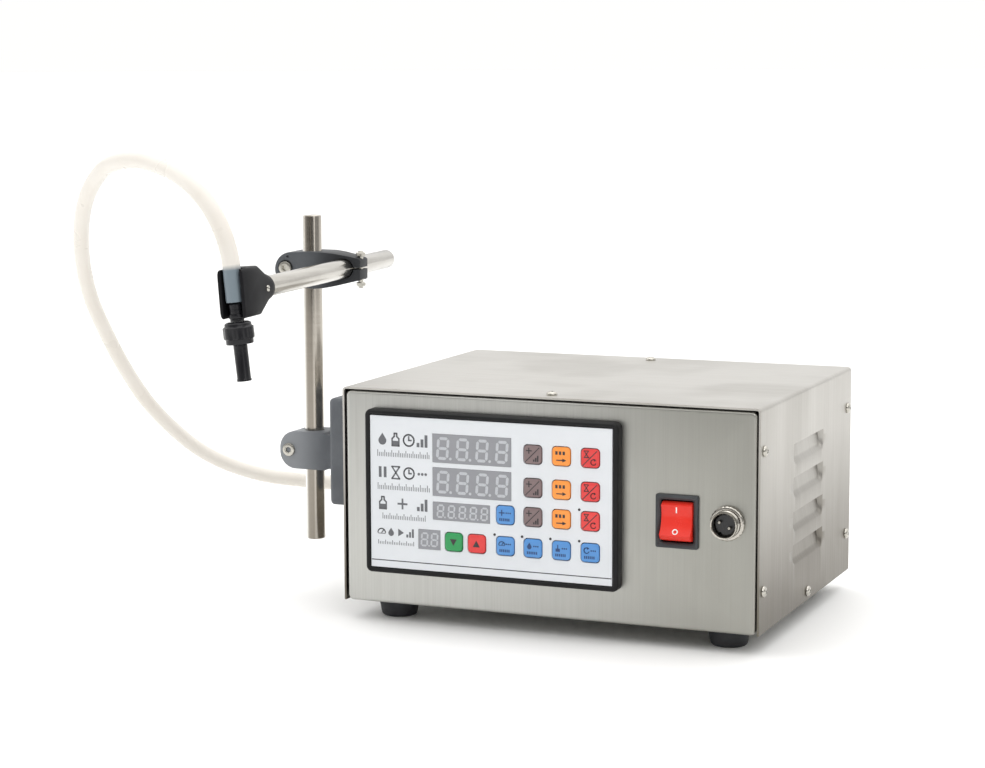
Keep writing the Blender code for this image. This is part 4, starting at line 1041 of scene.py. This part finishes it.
def switch():
    x, z = SWITCH_AT
    well_w, well_h = ROCKER_W / 2 + 0.0004, WELL_HALF_H
    half_w, half_h = SWITCH_W / 2, SWITCH_H / 2
    wall = half_w - well_w
    profile = [(0, -0.0003), (0, -0.0014), (0.0003, -0.0020), (0.0007, -0.0022), (0.0013, -0.0022),
               (wall - 0.0003, -0.0009),
               (wall, -0.0005), (wall, 0.0105)]
    rings = []
    for inset, y in profile:
        share = inset / wall
        a, b = half_w - inset, half_h - (half_h - well_h) * share
        rings.append([(x + p, y, z + q) for p, q in rounded_rect(a, b, 0.0012 - 0.0007 * share, 4)])
    for y in (0.0115, -0.0003):
        rings.append([(x + p, y, z + q) for p, q in rounded_rect(well_w + 0.0012, well_h + 0.0009, 0.0008,
                                                                 4)])
    piece(loft(rings, close=True), "switch_frame", "switch_black", replaces=["switch_bezel"])
    # the well behind the rocker is near-black: painted shade
    wide, high = well_w + 0.0005, well_h + 0.0005
    well = block((x - wide, 0.0095, z - high), (x + wide, 0.0112, z + high))
    piece(well, "switch_well", "painted_gap_shade")

    axis = BOX @ Matrix.Translation((x, ROCKER_AXIS_Y, z)) @ Matrix.Rotation(-ROCKER_TILT, 4, "X")
    # (height, depth towards the front) round the rocker's side: two hollowed faces that meet in a soft valley
    face_end, valley, rear = 0.0054, 0.0032, -0.0050  # as far as the rocker's node reaches
    last, first = math.asin(face_end / ROCKER_R), math.asin(rear / ROCKER_R)
    end = [(ROCKER_R * math.cos(a), ROCKER_R * math.sin(a)) for a in (first + (last - first) * i / 8
                                                                      for i in range(9))]
    end = [(h, d) for h, d in end if d < face_end - LIP_DEPTH] + [(ROCKER_R * math.cos(last),
                                                                   face_end - LIP_DEPTH)]
    tip = end[-1][0] - LIP
    hollow = lambda t: face_end + (valley - face_end) * t - 0.0007 * math.sin(math.pi * t)
    half = end + [(tip * (1 - i / 10), hollow(i / 10)) for i in range(10)] + [(0.0009, valley + 0.00008)]
    side = half + [(-h, d) for h, d in reversed(half)]
    half_w = ROCKER_W / 2
    rings = []
    for a, shrink in ((-half_w, 0.0006), (-half_w + 0.0002, 0.0002), (-half_w + 0.0007, 0),
                      (half_w - 0.0007, 0),
                      (half_w - 0.0002, 0.0002), (half_w, 0.0006)):
        rings.append([(a, -(d - (shrink if d > 0 else 0)), h * (1 - shrink / ROCKER_R)) for h, d in side])
    piece(loft(rings), "rocker_cap", "rocker_red", "rocker", axis, ["switch_rocker"], angle=45)
    # the marks lie on the sloping faces
    ring = lathe(mm((1.7, 0), (1.7, 0.3), (1.1, 0.3), (1.1, 0)), 28, close=True)
    ring.transform(Matrix.Rotation(math.radians(90), 4, "X"))
    line = prism([bar(-0.00035, -0.0018, 0.00035, 0.0018)], 0, 0.0003)
    for name, marks, height in (("rocker_on_mark", line, 0.0062), ("rocker_off_mark", ring, -0.0064)):
        depth = hollow(1 - abs(height) / tip)
        lean = math.copysign(math.atan2(face_end - valley, tip), height)
        place = axis @ Matrix.Translation((0, -depth, height)) @ Matrix.Rotation(lean, 4, "X")
        piece(marks, name, "ink_white", "rocker", place)


def socket():
    x, z = SOCKET_AT
    at = facing((x, 0, z), (0, -1, 0))
    barrel = mm((6.6, 2), (6.6, 8.8), (6.9, 9.6), (7.3, 10), (7.7, 9.9), (7.9, 9.4), (7.9, 7.2))
    for i in range(4):
        low = 0.0070 - i * 0.0008
        barrel += [(0.0076, low), (0.0079, low - 0.0004)]
    barrel += mm((7.9, 3.4), (7.9, -11), (6.6, -11))
    piece(lathe(barrel, 48, close=True), "socket_barrel", "socket_nickel", "root", at, ["socket_shell"],
          angle=30)
    knurl = lambda a, r, h: 1 + (0.012 * math.cos(24 * a) if r > 0.0095 else 0)
    nut = mm((8.1, 0.4), (9.6, 0.4), (9.9, 0.8), (9.9, 2.6), (9.4, 3.2), (8.6, 3.4), (8.1, 3.4))
    piece(lathe(nut, 96, knurl, True), "socket_ring", "socket_nickel", "root", at, ["socket_nut"], angle=30)
    core = lathe(mm((0.01, 5.6), (5.6, 5.6), (6.2, 5.2), (6.3, 4.8), (6.3, 2.3), (0.01, 2.3)), 36)
    keyway = rod((-0.0030, -0.0052, 0.003), (-0.0030, -0.0052, 0.008), 0.0010, 12)
    piece(boolean(core, "DIFFERENCE", keyway), "socket_core", "insulator", "root", at, ["socket_insulator"],
          angle=30)
    for i, side in enumerate((-1, 1), 1):
        # the pins stand on a slanted line across the core
        pin = lathe(mm((0.01, 8.6), (0.5, 8.5), (0.9, 8.1), (1, 7.5), (1, 5), (0.01, 5)), 20)
        place = facing((x + side * 0.0029, 0, z - side * 0.0015), (0, -1, 0))
        piece(pin, f"socket_pin_{i}", "socket_nickel", "root", place)


switch()
socket()


# ---------------------------------------------------------------- stand

RECESS = 0.0014    # of each clamp screw's head in the moulding


def through(x, z, radius, low, high, sides=32):
    """A cutter along Y."""
    return rod((x, low, z), (x, high, z), radius, sides)


def cap_screw(name, frame_matrix, at, body, shank, head_r=0.00425, head_h=0.0026, shank_r=0.0024):
    """Socket-head screw with a knurled head that faces the frame's front."""
    place = frame_matrix @ Matrix.Translation(at) @ Matrix.Rotation(math.radians(90), 4, "X")
    profile = [(TINY, -shank), (shank_r - 0.0004, -shank), (shank_r, -shank + 0.0004), (shank_r, 0),
               (head_r - 0.0002, 0),
               (head_r, 0.0002), (head_r, head_h - 0.0007), (head_r - 0.0003, head_h - 0.0002),
               (head_r - 0.0008, head_h),
               (TINY, head_h)]
    knurled = lambda a, r, h: 1 + (0.018 * math.cos(24 * a) if 0.0001 < h < head_h - 0.0005 else 0)
    head = lathe(profile, 96, knurled)
    dish = lathe([(TINY, head_h - 0.0003), (0.0022, head_h - 0.0003), (0.0028, head_h + 0.001),
                  (TINY, head_h + 0.001)], 32)
    hexagon = rod((0, 0, head_h * 0.25), (0, 0, head_h + 0.002), 0.0020, 6)
    piece(boolean(head, "DIFFERENCE", dish, hexagon), f"{name}_head", "screw_steel", body, place, [name],
          30)


def stand_bracket():
    """Mounting block on the box's side, with the split eye in one moulding."""
    eye_x, pad_x, corner = -0.0735, -0.0335, 0.0108
    half_h, half_d = 0.0120, 0.0115
    pad = block((pad_x, POST_Y - 0.0225, EYE_Z - 0.0315), (-0.0003, POST_Y + 0.0225, EYE_Z + 0.0360), 0.0030,
                4)
    left = [(eye_x + corner + corner * math.cos(a), sign * (half_h - corner) + corner * math.sin(a))
            for sign, first in ((1, 90), (-1, 180)) for a in (math.radians(first + 90 * i / 12)
                                                              for i in range(13))]
    step = POST_X + 0.0125
    outline = [*left, (step, -half_h), (step + 0.0012, -0.0108), (pad_x + 0.006, -0.0108),
               (pad_x + 0.006, 0.0108),
               (step + 0.0012, 0.0108), (step, half_h)]
    eye = prism([[(x, EYE_Z + z) for x, z in outline]], POST_Y + half_d, 2 * half_d)
    shape = boolean(pad, "UNION", eye)
    screw_x = POST_X - 0.0125
    bore = rod((POST_X, POST_Y, 0), (POST_X, POST_Y, 0.3), ROD_BORE_R, 48)
    slit = block((eye_x - 0.01, POST_Y - 0.0006, EYE_Z - 0.02), (POST_X, POST_Y + 0.0006, EYE_Z + 0.02))
    hole = through(screw_x, EYE_Z, 0.0027, POST_Y - 0.03, POST_Y + 0.03)
    recess = through(screw_x, EYE_Z, 0.0050, POST_Y - 0.03, POST_Y - half_d + RECESS)
    shape = boolean(shape, "DIFFERENCE", bore, slit, hole, recess)
    piece(soften(shape, 0.0006, 2), "bracket_moulding", "polyamide", replaces=["stand_bracket"])
    cap_screw("bracket_screw", BOX, (screw_x, POST_Y - half_d + RECESS - 0.0002, EYE_Z), "root", 0.0215)


def ground_rod(name, node, paint, body, start, end, frame_matrix):
    """A rod with chamfered, slightly dished ends."""
    start, end = Vector(start), Vector(end)
    long = (end - start).length
    r = ROD_R
    profile = [(TINY, 0.0003), (r * 0.35, 0.0002), (r - 0.0006, 0), (r - 0.0001, 0.0004), (r, 0.0009)]
    profile = profile + [(a, long - b) for a, b in reversed(profile)]
    shape = lathe(profile, 64)
    shape.transform(Matrix.Translation(start) @ turn_to(end - start))
    piece(shape, name, paint, body, frame_matrix, [node], 30)


def cross_clamp():
    """Moulding split upright round the post and flat round the arm."""
    ends = [(-0.0095 + 0.0110 * math.cos(a), -0.0010 + 0.0110 * math.sin(a))
            for a in (math.radians(100 + 160 * i / 24) for i in range(25))]
    below = mm((-2, -12.4), (6, -12.7), (12, -12.2), (19, -10.9), (27, -9), (33.5, -7.4), (34.5, -6.6))
    above = mm((34.5, 5.4), (33.5, 6.2), (27, 7.8), (19, 9.3), (12, 10.1), (2, 10.3))
    shape = prism([[*ends, *below, *above]], 0.0120, 0.0240)
    reach, wedges = 0.05, []
    for side in (-1, 1):
        # the moulding narrows in plan towards its right end
        wedge = block((0, min(0, side * reach), -reach), (reach, max(0, side * reach), reach))
        wedge.transform(Matrix.Translation((0.0130, side * 0.0120,
                                            0)) @ Matrix.Rotation(math.radians(-side * 14), 4, "Z"))
        wedges.append(wedge)
    shape = boolean(shape, "DIFFERENCE", *wedges)
    bores = [rod((0, 0, -0.04), (0, 0, 0.04), ROD_BORE_R, 48),
             through(ARM_OFFSET, 0, ROD_BORE_R, -0.04, 0.04, 48),
             block((-0.04, -0.0006, -0.04), (0, 0.0006, 0.04)),
             block((ARM_OFFSET, -0.04, -0.0006), (0.05, 0.04, 0.0006)),
             through(-0.0135, 0, 0.0027, -0.04, 0.04), through(-0.0135, 0, 0.0050, -0.04, -0.0120 + RECESS),
             rod((0.0325, 0, -0.04), (0.0325, 0, 0.04), 0.0019, 20),
             through(-0.0119, 0.0071, 0.0009, -0.04, -0.0108, 16)]
    shape = boolean(shape, "DIFFERENCE", *bores)
    at = CLAMP_FRAME @ Matrix.Translation((0, 0, ARM_Z))
    piece(soften(shape, 0.0006, 2), "clamp_moulding", "polyamide_dark", "clamp", at, ["cross_clamp"])
    cap_screw("clamp_post_screw", at, (-0.0135, -0.0122 + RECESS, 0), "clamp", 0.0220)

    def hexagon(low, high, radius):
        return lathe([(TINY, low), (radius * 0.86, low), (radius, low + 0.0003), (radius, high - 0.0003),
                      (radius * 0.86, high), (TINY, high)], 6)

    stud = lathe(mm((0.01, -12.5), (1.3, -12.5), (1.6, -12.2), (1.6, 10.4), (1.3, 10.8), (0.01, 10.8)), 32)
    whole = boolean(stud, "UNION", hexagon(0.0074, 0.0098, 0.0031), hexagon(-0.0112, -0.0090, 0.0031))
    piece(whole, "clamp_bolt", "screw_steel", "clamp", at @ Matrix.Translation((0.0325, 0, 0)),
          ["clamp_arm_bolt"], angle=30)


def nozzle_holder():
    """Channel for the hose end on a block whose neck tapers to a round rim."""
    front, block_back, rim_y, sides = -0.1810, -0.1575, -0.1370, 96
    stations = [(front, 0.0078, 0.0140, 9), (block_back, 0.0078, 0.0140, 9),
                (rim_y - 0.0030, 0.0080, 0.0080, 2),
                (rim_y, 0.0080, 0.0080, 2)]
    rings = []
    for y, width, height, power in stations:
        ring = []
        for i in range(sides):
            a = 2 * math.pi * (i + 0.5) / sides
            reach = (abs(math.cos(a)) ** power + abs(math.sin(a)) ** power) ** (-1 / power)
            ring.append((width * reach * math.cos(a), y, height * reach * math.sin(a)))
        rings.append(ring)
    channel = block((-0.0058, front - 0.01, -0.05), (0.0058, -0.1712, 0.05))
    bore = rod((0, ARM_Y[0] - 0.001, 0), (0, 0, 0), ROD_BORE_R, 48)
    screw_hole = rod((0.0062, -0.1475, 0), (0.02, -0.1475, 0), 0.0028, 24)
    shape = boolean(loft(rings), "DIFFERENCE", channel, bore, screw_hole)
    piece(soften(shape, 0.00045, 2, 30), "holder_moulding", "holder_black", HOLDER_BODY, HOLDER_FRAME,
          ["nozzle_holder"])
    screw = lathe(mm((0.01, 0), (2.3, 0), (2.5, 0.2), (2.5, 1.4), (2.3, 1.8), (0.01, 1.9)), 32)
    slot = block((-0.0030, -0.00035, 0.0010), (0.0030, 0.00035, 0.004))
    at = HOLDER_FRAME @ Matrix.Translation((0.0066, -0.1475, 0)) @ Matrix.Rotation(math.radians(90), 4, "Y") \
        @ Matrix.Rotation(math.radians(70), 4, "Z") @ Matrix.Diagonal((0.76, 0.76, 1, 1))
    piece(boolean(screw, "DIFFERENCE", slot), "holder_grub", "screw_steel", HOLDER_BODY, at, ["holder_screw"],
          angle=30)


def nozzle():
    """Barbed body under the hose, ribbed nut and spout."""
    top = HOSE_END_Z
    barb = [(TINY, top - 0.0003), (0.0028, top - 0.0003), (0.0032, top - 0.0005), (0.0039, top - 0.0014),
            (0.0039, -0.0085),
            (0.0037, -0.0087), (0.0037, -0.0093), (0.0039, -0.0095), (0.0039, -0.0112), (0.0045, -0.0115),
            (0.0046, -0.0118),
            (0.0046, -0.0134), (0.0044, -0.0138), (0.0040, -0.0140), (0.0040, -0.0154), (TINY, -0.0154)]
    piece(lathe(barb, 48), "nozzle_barb", "nozzle_black", "nozzle", NOZZLE_FRAME, ["nozzle_body"], angle=30)
    grip = lambda a, r, h: 1 + (0.016 * max(-1, min(1, 3 * math.cos(9 * a))) - 0.016 if -0.0250 < h < -0.0184
                                else 0)
    nut = mm((0.01, -15.7), (6, -15.7), (6.5, -15.9), (7.4, -16.5), (7.6, -16.9), (7.6, -17.8),
             (7.8, -18.2), (8.6, -18.6), (8.8, -18.9), (8.8, -24.7), (8.6, -25), (7.9, -25.4),
             (7.8, -25.8), (7.8, -27.6), (7.6, -28.1), (7.2, -28.3), (0.01, -28.3))
    piece(lathe(nut, 108, grip), "nozzle_grip", "nozzle_black", "nozzle", NOZZLE_FRAME, ["nozzle_nut"],
          angle=30)
    spout = mm((0.01, -28.6), (3.8, -28.6), (4, -28.9), (3.9, -47.6), (4.1, -48), (4.2, -48.4),
               (4.2, -48.9), (4, -49.2), (2.8, -49.2), (2.6, -49), (2.6, -42), (0.01, -42))
    piece(lathe(spout, 48), "nozzle_tip", "nozzle_black", "nozzle", NOZZLE_FRAME, ["nozzle_spout"], angle=30)


HOLDER_BODY = frame["nodes"]["nozzle_holder"]["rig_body"]
stand_bracket()
ground_rod("post_rod", "stand_post", "rod_upright", "post", (0, 0, POST_Z[0]), (0, 0, POST_Z[1]),
           upright_at(POST_X, POST_Y))
cross_clamp()
ground_rod("arm_rod", "cross_arm", "rod_level", "arm", (0, ARM_Y[0], 0), (0, ARM_Y[1], 0), ARM_FRAME)
nozzle_holder()
nozzle()


# ---------------------------------------------------------------- back and inside

def ports():
    """Outlet elbow, inlet barb and power inlet."""
    behind = lambda x: upright_at(x, BOX_D, PORT_Z) @ Matrix.Rotation(math.radians(-90), 4, "X")
    inside = mm((5.5, 0.3), (5.5, -11.8), (5.3, -12), (3, -12.3), (3, -16.8), (2.8, -17), (0.01, -17))
    flange = mm((8.3, 6.6), (8.5, 6.4), (8.5, 0.5), (8.3, 0.3))
    hexed = lambda a, r, h: (1 / max(math.cos((a + math.pi / 6) % (math.pi / 3) - math.pi / 6), 0.9)
                          * 0.93 if 0.0002 < h < 0.0067 else 1)
    barb = mm((0.01, 25), (2.4, 25), (2.7, 24.7), (3.7, 21.5), (3, 21.2), (3, 20.5), (3.9, 17.4),
              (3.2, 17.1), (3.2, 16.3), (4.1, 13.3), (3.4, 13), (3.4, 6.8))
    piece(lathe([*barb, *flange, *inside], 72, hexed), "suction_barb", "nylon", "root", behind(INLET_X),
          ["inlet_barb"], angle=30)
    elbow = mm((0.01, 29), (4.8, 29), (5.6, 28.7), (6, 28), (6, 6.8))
    upright = lathe([*elbow, *flange, *inside], 72, hexed)
    branch_y = ROUTE[0].y - BOX_D
    branch = rod((0, 0, branch_y), (ROUTE[0].x - OUTLET_X + 0.0003, 0, branch_y), 0.0040, 40)
    collar = rod((-0.0052, 0, branch_y), (-0.0085, 0, branch_y), 0.0050, 40, 0.0046)
    piece(boolean(upright, "UNION", branch, collar), "outlet_elbow_body", "nylon", "root", behind(OUTLET_X),
          ["outlet_elbow"], angle=30)
    piece(soften(from_cad("power_inlet"), 0.0004, 2), "power_inlet_body", "switch_black", "root",
          IDENTITY,
          ["power_inlet"])
    x, z = POWER_INLET_AT
    for name, across, up in (("line", -0.0070, 0.0020), ("neutral", 0.0070, 0.0020), ("earth", 0.0, -0.0022)):
        low = (x + across - 0.0010, BOX_D - 0.0148, z + up - 0.0020)
        high = (x + across + 0.0010, BOX_D - 0.0010, z + up + 0.0020)
        piece(block(low, high, 0.0003, 2), f"power_blade_{name}", "socket_nickel")


ports()

CARRIED = {"pump_motor": "zinc_sheet", "pump_shaft": "bright_steel", "wobble_plate": "nylon",
           "pump_housing": "insulator",
           "pump_head": "holder_black", "pump_saddle": "insulator", "inner_outlet_hose": "silicone",
           "inner_inlet_hose": "silicone", "power_supply": "zinc_sheet", "control_board": "board_green"}


def carry_over():
    """The inner parts keep their own shapes, with their edges rounded where they are moulded or folded."""
    for name, paint in CARRIED.items():
        made = frame["nodes"][name]
        made.data.materials.clear()
        made.data.materials.append(M[paint].material)
        if "hose" not in name:
            edge = made.modifiers.new("edges", "BEVEL")
            edge.width, edge.segments, edge.limit_method = 0.0003, 2, "ANGLE"


carry_over()
